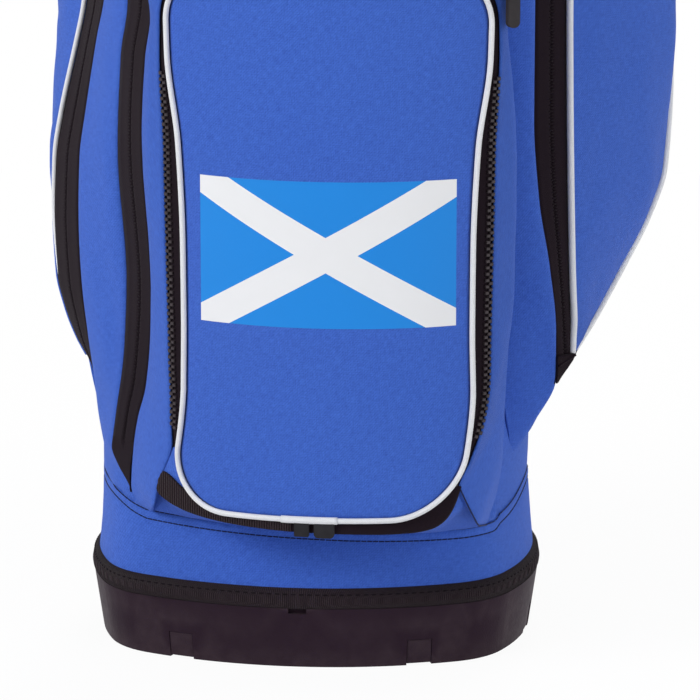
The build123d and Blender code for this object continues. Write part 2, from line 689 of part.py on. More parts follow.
chain_z = PANEL_BOTTOM - CHAIN_START - CHAIN_GAP / 2
panel_seat, panel_slider_point = on_round_face(BALL_CENTRE, BALL_RADIUS, BALL_X, 0, chain_z)
save("panel_slider", panel_seat.location * slider(True))
box_seat, box_point = on_round_face(BALL_CENTRE, BALL_RADIUS, BALL_X, STOP_BOX_AT, chain_z)
stop_box = block(-STOP_BOX_HALF, STOP_BOX_HALF, -SLIDER_GAP - SLIDER_PLATE, -SLIDER_GAP,
                 -STOP_BOX_HALF, STOP_BOX_HALF)
save("panel_zip_box", box_seat.location * fillet(stop_box.edges().filter_by(Axis.Y), STOP_BOX_ROUND))
ball_seat, ball_slider_point = on_round_face(
    BALL_CENTRE, BALL_RADIUS, BALL_X, BALL_SLIDER_AT, BALL_RUN_Z)
save("ball_slider", ball_seat.location * slider_with_ears(True))
save("ball_pull", ball_seat.location * pull())


# Garment pockets: each panel is lofted through the same plan points, so neighbours meet.
def pocket_rows(levels, front_y, rear_y):
    """Outer plan points at every height, from the front seam on the body to the rear one."""
    rows = []
    thin = BODY_SKIN + FABRIC
    for z, corner, zip_start, zip_end, face_middle, face_end in levels:
        points = [(oval_x(front_y, BODY_SKIN) - SEAM_SINK, front_y), corner]
        start, end = Vector(*zip_start), Vector(*zip_end)
        chain = (end - start).normalized() * (CHAIN_GAP / 2)
        middle = (start + end) * 0.5
        points += [start, middle - chain, middle + chain, end]
        toward = (Vector(*face_middle) - end).normalized()
        points += [end + toward * PIPING_WIDTH, face_middle, face_end]
        rear = (oval_x(rear_y, BODY_SKIN) - SEAM_SINK, rear_y)
        onward = (Vector(*face_end) - Vector(*face_middle)).normalized()
        onward += (Vector(*rear) - Vector(*face_end)).normalized()
        points += [Vector(*face_end) + onward.normalized() * PIPING_WIDTH, rear]
        rows.append((z, [Vector(*p) if isinstance(p, tuple) else p for p in points]))
    ends = []
    for z, row in ((POCKET_ENDS[0], rows[0][1]), (POCKET_ENDS[1], rows[-1][1])):
        depths = spread_depths([p.Y for p in row], REAR_PIPING_RUN)
        ends.append((z, [Vector(oval_x(y, thin), y) for y in depths]))
    return [ends[0]] + rows + [ends[1]]


def spread_depths(depths, step):
    """Depths of the closed ends, kept in order where the open section turns back."""
    tail = depths[-1]
    return depths[:-2] + [min(depths[-3] + step, tail - ROOT), tail]


def inward_points(points, thickness):
    """The same chain of points moved in by the thickness of the fabric, mitred at each turn."""
    runs = [(b - a).normalized() for a, b in zip(points, points[1:])]
    moved = []
    for i, p in enumerate(points):
        before = runs[max(i - 1, 0)]
        after = runs[min(i, len(runs) - 1)]
        along = (before + after).normalized()
        inward = Vector(-along.Y, along.X)
        moved.append(p + inward * (thickness / along.dot(after)))
    return moved


def strip(rows, first, last, mirrored, outer_sink=0.0, thickness=FABRIC, round_face=False, bulge=0.0):
    """Loft the stretch of fabric between two of the plan points through every height."""
    flip = -1 if mirrored else 1
    sections = []
    for z, points in rows:
        skin = inward_points(points, outer_sink) if outer_sink else points
        lining = inward_points(points, outer_sink + thickness)

        def at(p):
            return Vector(flip * p.X, p.Y, z)
        out = [at(p) for p in skin[first:last + 1]]
        back = [at(p) for p in lining[first:last + 1]][::-1]
        if round_face:
            edges = [Edge.make_three_point_arc(*out), Edge.make_line(out[-1], back[0]),
                     Edge.make_three_point_arc(*back), Edge.make_line(back[-1], out[0])]
        elif bulge:
            run = (out[1] - out[0]).normalized()
            crown = (out[0] + out[1]) * 0.5 + Vector(flip * run.Y, -flip * run.X) * bulge
            edges = [Edge.make_three_point_arc(out[0], crown, out[1]), Edge.make_line(out[1], back[0]),
                     Edge.make_line(back[0], back[1]), Edge.make_line(back[1], out[0])]
        else:
            loop = out + back
            edges = [Edge.make_line(a, b) for a, b in zip(loop, loop[1:] + loop[:1])]
        sections.append(Face(Wire(edges)))
    return loft(sections, ruled=True)


FRONT_SEAM, CORNER, ZIP_A, CHAIN_A, CHAIN_B, ZIP_B, FACE_A, FACE_M, FACE_B, REAR_PIPE, REAR_SEAM = range(11)


def garment_pocket(name, levels, front_y, rear_y, mirrored):
    rows = pocket_rows(levels, front_y, rear_y)
    gussets = [strip(rows, FRONT_SEAM, ZIP_A, mirrored) - body_plug,
               strip(rows, REAR_PIPE, REAR_SEAM, mirrored) - body_plug]
    save(name + "_pocket_gussets", *gussets)
    tapes = [strip(rows, ZIP_A, CHAIN_A, mirrored, TAPE_SINK, TAPE),
             strip(rows, CHAIN_B, ZIP_B, mirrored, TAPE_SINK, TAPE)]
    save(name + "_pocket_zip", *tapes)
    save(name + "_pocket_face", strip(rows, FACE_A, FACE_B, mirrored, round_face=True))
    piping = [strip(rows, ZIP_B, FACE_A, mirrored, bulge=PIPING_PROUD),
              strip(rows, FACE_B, REAR_PIPE, mirrored, bulge=PIPING_PROUD)]
    save(name + "_pocket_piping", *piping)

    flip = -1 if mirrored else 1
    skin = inward_points(levels_row(rows), TAPE_SINK)
    across = skin[CHAIN_B] - skin[CHAIN_A]
    middle = (skin[CHAIN_A] + skin[CHAIN_B]) * 0.5
    outward = Vector(flip * across.Y, -across.X, 0).normalized()
    point = (flip * middle.X, middle.Y, GARMENT_SLIDER_Z)
    frame = seat(point, tuple(outward), (0, 0, 1))
    save(name + "_slider", frame.location * slider_with_ears(False))
    save(name + "_pull", frame.location * pull())
    return point, outward


def levels_row(rows):
    return rows[-2][1]


right_point, right_out = garment_pocket("right", RIGHT_LEVELS, RIGHT_FRONT_Y, RIGHT_REAR_Y, False)
left_point, left_out = garment_pocket("left", LEFT_LEVELS, LEFT_FRONT_Y, LEFT_REAR_Y, True)

# Small upper pocket with a zip across its head.
upper_plan, upper_left, upper_right = pouch_plan(
    UPPER_X, UPPER_FRONT_Y, UPPER_RADIUS, UPPER_HALF_WIDTH, UPPER_BACK_LEFT, UPPER_BACK_RIGHT,
    BALL_CREST_ROUND)


def upper_zip_prism(z0, z1):
    return block(UPPER_X - UPPER_ZIP_END, UPPER_X + UPPER_ZIP_END, UPPER_FRONT_Y - SPARE,
                 upper_left[1] + FABRIC + ROOT, z0, z1)


def upper_frame():
    half, low, high, radius = UPPER_FACE
    face = Pos(UPPER_X, (low + high) / 2) * RectangleRounded(2 * half, high - low, radius)
    ring = offset(face, PIPING_WIDTH) - face
    return forward(ring, upper_left[1] + FABRIC + ROOT, UPPER_FRONT_Y - SPARE)


def upper_pocket():
    shell = shell_of(upper_plan, 0, -FABRIC, UPPER_BOTTOM, UPPER_TOP)
    shell += upright(upper_plan, UPPER_BOTTOM, UPPER_BOTTOM + FABRIC)
    shell += upright(upper_plan, UPPER_TOP - FABRIC, UPPER_TOP)
    shell -= body_plug
    shell -= upper_zip_prism(UPPER_ZIP_Z - RUN_ZIP_WIDTH / 2, UPPER_ZIP_Z + RUN_ZIP_WIDTH / 2)
    return shell - upper_frame()


def upper_zip():
    tape = shell_of(upper_plan, -TAPE_SINK, -TAPE_SINK - TAPE, UPPER_BOTTOM, UPPER_TOP)
    tape &= upper_zip_prism(UPPER_ZIP_Z - RUN_ZIP_WIDTH / 2, UPPER_ZIP_Z + RUN_ZIP_WIDTH / 2)
    return tape - upper_zip_prism(UPPER_ZIP_Z - CHAIN_GAP / 2, UPPER_ZIP_Z + CHAIN_GAP / 2)


upper_bead = shell_of(upper_plan, PIPING_PROUD, -FABRIC, UPPER_BOTTOM, UPPER_TOP)
save("upper_pocket_shell", upper_pocket())
save("upper_pocket_zip", upper_zip())
save("upper_pocket_piping", upper_bead & upper_frame())
upper_seat, upper_slider_point = on_round_face(
    UPPER_CENTRE, UPPER_RADIUS, UPPER_X, UPPER_SLIDER_AT, UPPER_ZIP_Z)
save("upper_slider", upper_seat.location * slider_with_ears(True))
save("upper_pull", upper_seat.location * pull())


# Grips: a fixed bow at the front of the collar and a hanging bail at the back.
def front_grip():
    collar_y = -HALF_DEPTH - COLLAR_OFFSET
    ends = oval_y(GRIP_HALF_SPAN, COLLAR_OFFSET) - GRIP_THICKNESS / 2
    path = Edge.make_three_point_arc(
        (-GRIP_HALF_SPAN, -ends, GRIP_Z), (0, collar_y - GRIP_REACH + GRIP_THICKNESS / 2, GRIP_Z),
        (GRIP_HALF_SPAN, -ends, GRIP_Z))
    start = Plane(origin=path @ 0, x_dir=(0, 0, 1), z_dir=path % 0)
    section = start * RectangleRounded(GRIP_HEIGHT, GRIP_THICKNESS, GRIP_ROUND)
    return sweep(section, path=Wire([path])) - plug(COLLAR_OFFSET, COLLAR_FOOT, BAG_HEIGHT)


def bail():
    low = BAIL_Z - BAIL_DROP
    path = FilletPolyline(
        (-BAIL_HALF, BAIL_Y, BAIL_Z), (-BAIL_HALF, BAIL_Y, low), (BAIL_HALF, BAIL_Y, low),
        (BAIL_HALF, BAIL_Y, BAIL_Z), radius=BAIL_BEND)
    section = Plane(origin=(-BAIL_HALF, BAIL_Y, BAIL_Z), z_dir=(0, 0, -1)) * Circle(BAIL_RADIUS)
    shape = sweep(section, path=path)
    for side in (-1, 1):
        x0, x1 = [side * BAIL_HALF + s * BAIL_EYE_WIDTH / 2 for s in (-1, 1)]
        shape += rod((x0, BAIL_Y, BAIL_Z), (x1, BAIL_Y, BAIL_Z), BAIL_EYE_RADIUS)
    for side in (-1, 1):
        x0, x1 = [side * BAIL_HALF + s * (BAIL_EYE_WIDTH / 2 + ROOT) for s in (-1, 1)]
        shape -= rod((x0, BAIL_Y, BAIL_Z), (x1, BAIL_Y, BAIL_Z), BAIL_PIN_RADIUS + PIN_GAP)
    return shape


def bail_pins():
    pins = []
    for side in (-1, 1):
        x0, x1 = sorted((side * (BAIL_HALF - BAIL_EYE_WIDTH / 2), side * LUG_X1))
        pins.append(rod((x0, BAIL_Y, BAIL_Z), (x1, BAIL_Y, BAIL_Z), BAIL_PIN_RADIUS))
    return pins


def bail_sleeve():
    low = BAIL_Z - BAIL_DROP
    sleeve = rod((-SLEEVE_HALF, BAIL_Y, low), (SLEEVE_HALF, BAIL_Y, low), SLEEVE_RADIUS)
    sleeve = fillet(sleeve.edges().filter_by(GeomType.CIRCLE), SLEEVE_ROUND)
    return sleeve - rod((-SLEEVE_HALF, BAIL_Y, low), (SLEEVE_HALF, BAIL_Y, low), BAIL_RADIUS + PRESS_GAP)


save("front_grip", front_grip())
save("lift_bail", bail())
save("lift_bail_pins", *bail_pins())
save("lift_bail_sleeve", bail_sleeve())

# Towel ring: a D of wire hanging in a webbing loop riveted to the collar.
TOWEL_NEAR_EDGE = TOWEL_Y + TOWEL_TAB_WIDTH / 2
TOWEL_X = -oval_x(TOWEL_NEAR_EDGE, COLLAR_OFFSET) - RUN_GAP - RING_WIRE - PIN_GAP - LOOP_WALL


def towel_ring():
    y0, y1 = TOWEL_Y - RING_HALF, TOWEL_Y + RING_HALF
    bar = rod((TOWEL_X, y0, TOWEL_Z), (TOWEL_X, y1, TOWEL_Z), RING_WIRE)
    path = Edge.make_three_point_arc(
        (TOWEL_X, y0, TOWEL_Z), (TOWEL_X, TOWEL_Y, TOWEL_Z - RING_DROP), (TOWEL_X, y1, TOWEL_Z))
    section = Plane(origin=path @ 0, z_dir=path % 0) * Circle(RING_WIRE)
    ring = bar + sweep(section, path=Wire([path]))
    for y in (y0, y1):
        ring += Pos(TOWEL_X, y, TOWEL_Z) * Sphere(RING_WIRE)
    return ring


def towel_tab():
    y0, y1 = TOWEL_Y - TOWEL_TAB_WIDTH / 2, TOWEL_Y + TOWEL_TAB_WIDTH / 2
    bore = RING_WIRE + PIN_GAP
    outer = bore + LOOP_WALL
    loop = rod((TOWEL_X, y0, TOWEL_Z), (TOWEL_X, y1, TOWEL_Z), outer)
    tail = block(TOWEL_X, TOWEL_X + outer, y0, y1, TOWEL_Z, TOWEL_TAB_TOP)
    tab = loop + tail
    return tab - rod((TOWEL_X, y0, TOWEL_Z), (TOWEL_X, y1, TOWEL_Z), bore)


def towel_rivet():
    z = TOWEL_TAB_TOP - RIVET_BELOW_TOP
    return rod((TOWEL_X, TOWEL_Y, z), (TOWEL_X - RIVET_HEIGHT, TOWEL_Y, z), RIVET_RADIUS)


save("towel_ring", towel_ring())
save("towel_tab", towel_tab())
save("towel_rivet", towel_rivet())

# Shoulder strap: webbing and pad bowed along one arc between two wire loops.
STRAP_Y = HALF_DEPTH + BODY_OFFSET + ANCHOR_STANDOFF
HALF_CHORD = (STRAP_TOP_Z - STRAP_FOOT_Z) / 2
STRAP_RADIUS = (HALF_CHORD**2 + STRAP_BOW**2) / (2 * STRAP_BOW)
STRAP_MIDDLE_Z = (STRAP_TOP_Z + STRAP_FOOT_Z) / 2
STRAP_CENTRE_Y = STRAP_Y + STRAP_BOW - STRAP_RADIUS
STRAP_END = degrees(asin(HALF_CHORD / STRAP_RADIUS))
LOOP_BORE = STRAP_WIRE + PIN_GAP


def bowed(width, thickness, start, end):
    """Flat strip bent along the strap's arc between two angles above the level."""
    frame = Plane(origin=(0, STRAP_CENTRE_Y, STRAP_MIDDLE_Z), x_dir=(1, 0, 0), z_dir=(0, 0, -1))
    section = frame * Pos(0, -STRAP_RADIUS) * Rectangle(width, thickness)
    axis = Axis((0, STRAP_CENTRE_Y, STRAP_MIDDLE_Z), (1, 0, 0))
    return revolve(section, axis, end - start).rotate(axis, start)


def bar_loop(z):
    half = WEB_WIDTH / 2
    return rod((-half, STRAP_Y, z), (half, STRAP_Y, z), LOOP_BORE + LOOP_WALL)


def bar_hole(z):
    half = WEB_WIDTH / 2 + ROOT
    return rod((-half, STRAP_Y, z), (half, STRAP_Y, z), LOOP_BORE)


def strap_webs():
    clear = degrees(RUN_GAP / STRAP_RADIUS)
    grip = degrees(LOOP_BORE / STRAP_RADIUS)
    upper = bowed(WEB_WIDTH, WEB_THICKNESS, STRAP_PAD_ANGLES[1] + clear, STRAP_END - grip)
    lower = bowed(WEB_WIDTH, WEB_THICKNESS, -STRAP_END + grip, STRAP_PAD_ANGLES[0] - clear)
    upper = upper + bar_loop(STRAP_TOP_Z) - bar_hole(STRAP_TOP_Z)
    lower = lower + bar_loop(STRAP_FOOT_Z) - bar_hole(STRAP_FOOT_Z)
    return [upper, lower]


def strap_pad():
    pad = bowed(STRAP_PAD_WIDTH, STRAP_PAD_THICKNESS, *STRAP_PAD_ANGLES)
    return fillet(pad.edges(), STRAP_PAD_ROUND)


def strap_adjuster():
    middle = (STRAP_PAD_ANGLES[0] - STRAP_END) / 2
    clear = WEB_THICKNESS + 2 * RUN_GAP
    span = degrees(ADJUSTER_LENGTH / STRAP_RADIUS)
    inner = WEB_WIDTH + 2 * ADJUSTER_SIDE_GAP
    frame = bowed(inner + 2 * ADJUSTER_MARGIN, clear + 2 * ADJUSTER_WALL,
                  middle - span / 2, middle + span / 2)
    return frame - bowed(inner, clear, middle - span, middle + span)


def wire_loop(z0, z1):
    half = STRAP_RING_HALF
    path = FilletPolyline(
        (-half, STRAP_Y, z0), (half, STRAP_Y, z0), (half, STRAP_Y, z1), (-half, STRAP_Y, z1),
        radius=STRAP_RING_BEND, close=True)
    section = Plane(origin=path @ 0, z_dir=path % 0) * Circle(STRAP_WIRE)
    return sweep(section, path=path)


def anchor(bar_z, far_z):
    half = WEB_WIDTH / 2
    low, high = sorted((bar_z, far_z))
    inner_y = HALF_DEPTH + BODY_OFFSET + RUN_GAP
    plate = block(-half, half, inner_y, inner_y + WEB_THICKNESS, low, high)
    tongue = block(-half, half, inner_y, STRAP_Y, bar_z - LOOP_BORE, bar_z + LOOP_BORE)
    return plate + tongue + bar_loop(bar_z) - bar_hole(bar_z)


upper_bar = STRAP_TOP_Z + STRAP_RING_DROP
lower_bar = STRAP_FOOT_Z - STRAP_RING_DROP
save("strap_webbing", *strap_webs())
save("strap_pad", strap_pad())
save("strap_adjuster", strap_adjuster())
save("strap_loops", wire_loop(STRAP_TOP_Z, upper_bar), wire_loop(lower_bar, STRAP_FOOT_Z))
save("strap_anchors", anchor(upper_bar, upper_bar + ANCHOR_HEIGHT),
     anchor(lower_bar, lower_bar - ANCHOR_HEIGHT))

print("panel slider", [round(v, 3) for v in panel_slider_point], "about", BALL_CENTRE)
print("ball slider", [round(v, 3) for v in ball_slider_point], "about", BALL_CENTRE)
print("upper slider", [round(v, 3) for v in upper_slider_point], "about", UPPER_CENTRE)
print("right slider", right_point, tuple(right_out))
print("left slider", left_point, tuple(left_out))
print("bail axis", BAIL_Y, BAIL_Z, "towel bar", TOWEL_X, TOWEL_Z)
print("stays", STAY_POINTS, "strap", STRAP_Y, STRAP_RADIUS, STRAP_END)
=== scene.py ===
import math

import bpy
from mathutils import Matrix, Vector, noise


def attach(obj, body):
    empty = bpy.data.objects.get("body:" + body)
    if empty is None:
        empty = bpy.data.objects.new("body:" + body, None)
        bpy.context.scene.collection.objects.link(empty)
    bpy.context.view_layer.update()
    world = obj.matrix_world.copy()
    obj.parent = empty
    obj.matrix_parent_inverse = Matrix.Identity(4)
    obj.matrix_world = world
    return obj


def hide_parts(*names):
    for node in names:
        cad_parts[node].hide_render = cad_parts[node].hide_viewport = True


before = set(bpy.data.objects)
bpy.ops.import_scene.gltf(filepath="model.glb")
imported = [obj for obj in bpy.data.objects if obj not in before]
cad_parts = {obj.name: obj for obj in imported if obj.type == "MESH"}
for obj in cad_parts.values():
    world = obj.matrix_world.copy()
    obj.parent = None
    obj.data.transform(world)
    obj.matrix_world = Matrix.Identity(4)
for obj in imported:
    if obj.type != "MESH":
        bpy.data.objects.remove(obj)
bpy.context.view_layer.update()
mm = 0.001  # shapes are worked out in millimetres and made in metres
upright = Vector((0, 0, 1))
print("frame loaded:", len(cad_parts), "solids")


# numbers and lines
def clamp(value):
    return min(1, max(0, value))


def signedPower(value, power):
    return math.copysign(abs(value)**power, value)


def around(turn):
    # cosine and sine of an angle in degrees
    return math.cos(math.radians(turn)), math.sin(math.radians(turn))


def hump(away, run):
    return math.exp(-(away / run)**2)


def levelled(point):
    return Vector((point.x, point.y, 0))


def spread(low, high, step):
    count = max(2, round(abs(high - low) / step) + 1)
    return [low + (high - low) * i / (count - 1) for i in range(count)]


def evenly(whole, count):
    return [whole * k / (count - 1) for k in range(count)]


def rail(*points):
    # smooth line up the bag through (height, x, y) points, with no overshoot
    keys = [p[0] for p in points]
    tracks = []
    for axis in (1, 2):
        values = [p[axis] for p in points]
        steps = [(b - a) / (kb - ka)
                 for a, b, ka, kb in zip(values, values[1:], keys, keys[1:])]
        inner = [0 if a * b <= 0 else 2 * a * b / (a + b) for a, b in zip(steps, steps[1:])]
        tracks.append((values, [steps[0]] + inner + [steps[-1]]))

    def at(height):
        key = min(max(height, keys[0]), keys[-1])
        i = max(k for k in range(len(keys) - 1) if keys[k] <= key)
        span = keys[i + 1] - keys[i]
        t = (key - keys[i]) / span
        x, y = [(2 * t**3 - 3 * t**2 + 1) * values[i] + (t**3 - 2 * t**2 + t) * span * rates[i]
                + (3 * t**2 - 2 * t**3) * values[i + 1] + (t**3 - t**2) * span * rates[i + 1]
                for values, rates in tracks]
        return Vector((x, y, height))

    return at


def graph(*points):
    line = rail(*[(key, value, 0) for key, value in points])
    return lambda key: line(key).x


def runOf(line):
    run = [0.0]
    for a, b in zip(line, line[1:]):
        run.append(run[-1] + (b - a).length)
    return run


def stations(run, targets):
    # for each distance along a line: the span it falls in and its share of that span
    i = 0
    for target in targets:
        while i < len(run) - 2 and run[i + 1] < target:
            i += 1
        span = run[i + 1] - run[i]
        yield i, (target - run[i]) / span if span else 0


def sampleAt(line, distances):
    return [line[i].lerp(line[i + 1], share) for i, share in stations(runOf(line), distances)]


def resample(line, count):
    return sampleAt(line, evenly(runOf(line)[-1], count))


def spreadLine(a, b, count):
    return [a.lerp(b, share) for share in evenly(1, count)]


def eased(line, passes):
    # rounds the corners of a line and keeps its ends
    for _ in range(passes):
        middle = [(a + b * 2 + c) / 4 for a, b, c in zip(line, line[1:], line[2:])]
        line = [line[0]] + middle + [line[-1]]
    return line


def tangentAt(line, i):
    return line[min(i + 1, len(line) - 1)] - line[max(i - 1, 0)]


# the bag's plan is an oval of eight arcs that meet without a corner
plan = {"halfWidth": 120.0, "halfDepth": 96.0, "corner": 44.0, "sweep": 24.0, "bodySkin": -1.0,
        "seat": -0.6, "stitchSteps": 720}


def planArcs():
    sweep = math.radians(plan["sweep"])
    low = 1 - math.cos(sweep)
    lean = plan["corner"] * (math.cos(sweep) - math.sin(sweep))
    across, along = plan["halfWidth"] - lean, plan["halfDepth"] - lean
    under = math.sin(sweep)**2 - low**2
    side = (along * math.sin(sweep) - across * low) / under
    front = (across * math.sin(sweep) - along * low) / under
    return {"side": (plan["halfWidth"] - side, 0.0, side),
            "front": (0.0, plan["halfDepth"] - front, front),
            "corner": ((front - plan["corner"]) * math.sin(sweep),
                       (side - plan["corner"]) * math.sin(sweep), plan["corner"])}


arcs = planArcs()


def arcFor(steep):
    if steep <= plan["sweep"]:
        return arcs["side"]
    return arcs["front" if steep >= 90 - plan["sweep"] else "corner"]


def ovalOut(turn):
    return Vector((*around(turn), 0))


def ovalAt(turn, offset, height=0.0):
    # point of the bag's plan whose outward direction is at this angle
    dx, dy = around(turn)
    cx, cy, radius = arcFor(math.degrees(math.atan2(abs(dy), abs(dx))))
    return Vector((math.copysign(cx, cx * dx) + (radius + offset) * dx,
                   math.copysign(cy, cy * dy) + (radius + offset) * dy, height))


def ovalTurns(count):
    # angles that are evenly spaced along the plan
    fine = spread(90, 450, 0.5)
    run = runOf([ovalAt(turn, 0) for turn in fine])
    return [fine[i] + (fine[i + 1] - fine[i]) * share
            for i, share in stations(run, [run[-1] * k / count for k in range(count)])]


def ovalPerimeter():
    return runOf([ovalAt(turn, 0) for turn in spread(0, 360, 0.5)])[-1]


def ovalDepth(point):
    # distance outside the plan, and the way out
    x, y = abs(point.x), abs(point.y)
    cx, cy, _ = arcs["corner"]
    cx, cy, radius = arcFor(90 if x <= cx else math.degrees(math.atan2(y - cy, x - cx)))
    away = Vector((x - cx, y - cy, 0))
    out = away.normalized()
    return away.length - radius, Vector((math.copysign(out.x, point.x),
                                         math.copysign(out.y, point.y), 0))


def turnWhere(holds, low, high):
    # angle up to which a test of the plan holds
    for _ in range(40):
        turn = (low + high) / 2
        low, high = (turn, high) if holds(turn) else (low, turn)
    return low


def bodyX(y, side, offset=plan["seat"]):
    turn = turnWhere(lambda turn: ovalAt(turn, offset).y < y, -90.0, 90.0)
    return side * ovalAt(turn, offset).x


def onBody(y, side, height, offset=plan["seat"]):
    return Vector((bodyX(y, side, offset), y, height))


def clearOfBody(point, offset=-0.5):
    depth, out = ovalDepth(point)
    return point + out * (offset - depth) if depth < offset else point


# meshes
def gridMesh(name, rows, loop=False, uvOf=None):
    # rows of points to a quad mesh, with a cloth map laid out in metres
    wide = len(rows[0])
    spans = wide if loop else wide - 1
    faces, places = [], []
    for i in range(len(rows) - 1):
        for j in range(spans):
            k = (j + 1) % wide
            faces.append((i * wide + j, i * wide + k, (i + 1) * wide + k, (i + 1) * wide + j))
            places += [(i, j), (i, j + 1), (i + 1, j + 1), (i + 1, j)]
    mesh = bpy.data.meshes.new(name)
    mesh.from_pydata([p * mm for row in rows for p in row], [], faces)
    runs = []
    for row in rows:
        run = runOf(list(row) + ([row[0]] if loop else []))
        runs.append([(r - run[-1] / 2) * mm for r in run])
    climb = [r * mm for r in runOf([row[wide // 2] for row in rows])]
    cut = mesh.uv_layers.new(name="cut")
    for corner, (i, j) in enumerate(places):
        cut.data[corner].uv = uvOf(rows[i][j % wide]) if uvOf else (runs[i][j], climb[i])
    mesh.polygons.foreach_set("use_smooth", [True] * len(mesh.polygons))
    return mesh


def faceOut(mesh, closed=False):
    # turns the faces away from the bag's axis, or outwards if the shape is closed
    total = 0.0
    for polygon in mesh.polygons:
        start = Vector() if closed else upright * polygon.center.z
        total += polygon.normal.dot(polygon.center - start) * polygon.area
    if total < 0:
        mesh.flip_normals()
    return mesh


def capped(rows):
    # closes a row of rings with a point at each end
    ends = [[sum(row, Vector()) / len(row)] * len(row) for row in (rows[0], rows[-1])]
    return [ends[0]] + rows + [ends[1]]


def normalsOf(rows):
    found = []
    for i, row in enumerate(rows):
        line = []
        for j, point in enumerate(row):
            climb = rows[min(i + 1, len(rows) - 1)][j] - rows[max(i - 1, 0)][j]
            out = tangentAt(row, j).cross(climb)
            if out.length < 1e-9:
                out = levelled(point)
            out.normalize()
            line.append(out if out.dot(levelled(point)) >= 0 else -out)
        found.append(line)
    return found


# marks are the first columns in from an edge, close together where the edge turns in
cloth = {"samples": 60, "marks": (0.0, 0.6, 1.5, 3.0), "lipRun": 0.9, "broad": 0.021,
         "fine": 0.06, "fineShare": 0.45, "fadeRows": 4, "sunkReach": 18.0, "sunkRun": 16.0,
         "foldLean": 0.25, "foldAcross": 0.042, "foldUp": 0.009}


def foldAt(across, up, seed):
    # slack of the cloth, drawn out along its height and a little aslant
    aslant = (across + up * cloth["foldLean"]) * cloth["foldAcross"]
    return noise.noise(Vector((aslant, up * cloth["foldUp"], seed)))


def clothMarks(whole, cols):
    edge = [d for d in cloth["marks"] if d < whole / 4]
    if len(edge) < len(cloth["marks"]):
        return evenly(whole, cols + 7)
    inner = spread(edge[-1], whole - edge[-1], (whole - 2 * edge[-1]) / max(cols, 1))
    return edge[:-1] + inner + [whole - d for d in reversed(edge[:-1])]


def underSkirt(point):
    # cloth that comes down to the skirt is tucked behind its sewn head
    if point.z > skirt["clear"]:
        return point
    depth, out = ovalDepth(point)
    seam = skirt["rows"][1] + skirtLift(math.degrees(math.atan2(out.y, out.x)))
    share = clamp((seam + skirt["lap"] - point.z) / skirt["lapRun"])
    return point + out * (skirt["under"] - depth) * share if depth > skirt["under"] else point


def clothRows(rails, cols=10, crown=0.0, ease=0, soft=0.0, folds=0.0, lips=(0.0, 0.0), ribs=None,
              keepOut=True, sunkFoot=0.0):
    # cloth between matching rails: crowned, softly uneven, with long shallow folds and
    # turned-in edges
    lines = [eased(resample(list(points), cloth["samples"]), ease) for points in zip(*rails)]
    marks = [clothMarks(runOf(line)[-1], cols) for line in lines]
    most = max(len(places) for places in marks)
    rows = [sampleAt(line, places if len(places) == most else evenly(places[-1], most))
            for line, places in zip(lines, marks)]
    outs = normalsOf(rows)
    climb = runOf([row[most // 2] for row in rows])
    start = rows[0][0]
    shaped = []
    for i, row in enumerate(rows):
        run = runOf(row)
        whole = max(run[-1], 1e-6)
        amount = crown(row[0].z) if callable(crown) else crown
        line = []
        for j, point in enumerate(row):
            share = run[j] / whole
            lift = amount * (1 - (2 * share - 1)**2)
            lift -= lips[0] * math.exp(-run[j] / cloth["lipRun"])
            lift -= lips[1] * math.exp(-(whole - run[j]) / cloth["lipRun"])
            ends = min(i, len(rows) - 1 - i) / cloth["fadeRows"]
            fade = min(1, 6 * share * (1 - share)) * min(1, ends)
            lift += soft * fade * (noise.noise(point * cloth["broad"])
                                   + cloth["fineShare"] * noise.noise(point * cloth["fine"]))
            lift += folds * fade * foldAt(run[j], climb[i], start.x)
            if ribs:
                lift += ribs[1] * abs(math.sin(math.pi * point.x / ribs[0]))
            place = point + outs[i][j] * lift
            if keepOut:
                place = underSkirt(clearOfBody(place))
            if sunkFoot:
                # the lowest part goes into the body's side, so that no edge stands there
                away = clamp((start.z + cloth["sunkReach"] - place.z) / cloth["sunkRun"])
                place = place - ovalDepth(place)[1] * sunkFoot * away
            line.append(place)
        shaped.append(line)
    return shaped


def tubeRows(line, radius, sides=10, closed=False, flat=1.0, centre=None):
    # round cord along a line; flat squeezes it towards what carries it
    rows = []
    count = len(line)
    for i, point in enumerate(line):
        before = line[i - 1] if i or closed else line[0]
        after = line[(i + 1) % count] if closed or i < count - 1 else line[i]
        along = (after - before).normalized()
        away = point - (centre if centre else upright * point.z)
        out = (away - along * away.dot(along)).normalized()
        side = along.cross(out)
        rows.append([point + out * math.cos(math.tau * k / sides) * radius * flat
                     + side * math.sin(math.tau * k / sides) * radius for k in range(sides)])
    if closed:
        return rows + [rows[0]]
    ends = [[end.lerp(p, 0.08) for p in row] for row, end in ((rows[0], line[0]),
                                                              (rows[-1], line[-1]))]
    return [ends[0]] + rows + [ends[1]]


def bandRows(line, width, thick, section, side=Vector((1, 0, 0))):
    # flat band along a line that lies across its side direction
    rows = []
    for i, point in enumerate(line):
        out = side.cross(tangentAt(line, i).normalized())
        rows.append([point + side * s * width + out * o * thick for s, o in section])
    return rows


def marksAlong(line, outs, pitch, first=0.5):
    # evenly spaced places on a line: point, way along, way out
    run = runOf(line)
    count = int(run[-1] / pitch)
    places = []
    for i, share in stations(run, [(k + first) * run[-1] / count for k in range(count)]):
        along = (line[i + 1] - line[i]).normalized()
        out = outs[i].lerp(outs[i + 1], share)
        out = (out - along * out.dot(along)).normalized()
        places.append((line[i].lerp(line[i + 1], share), along, out))
    return places


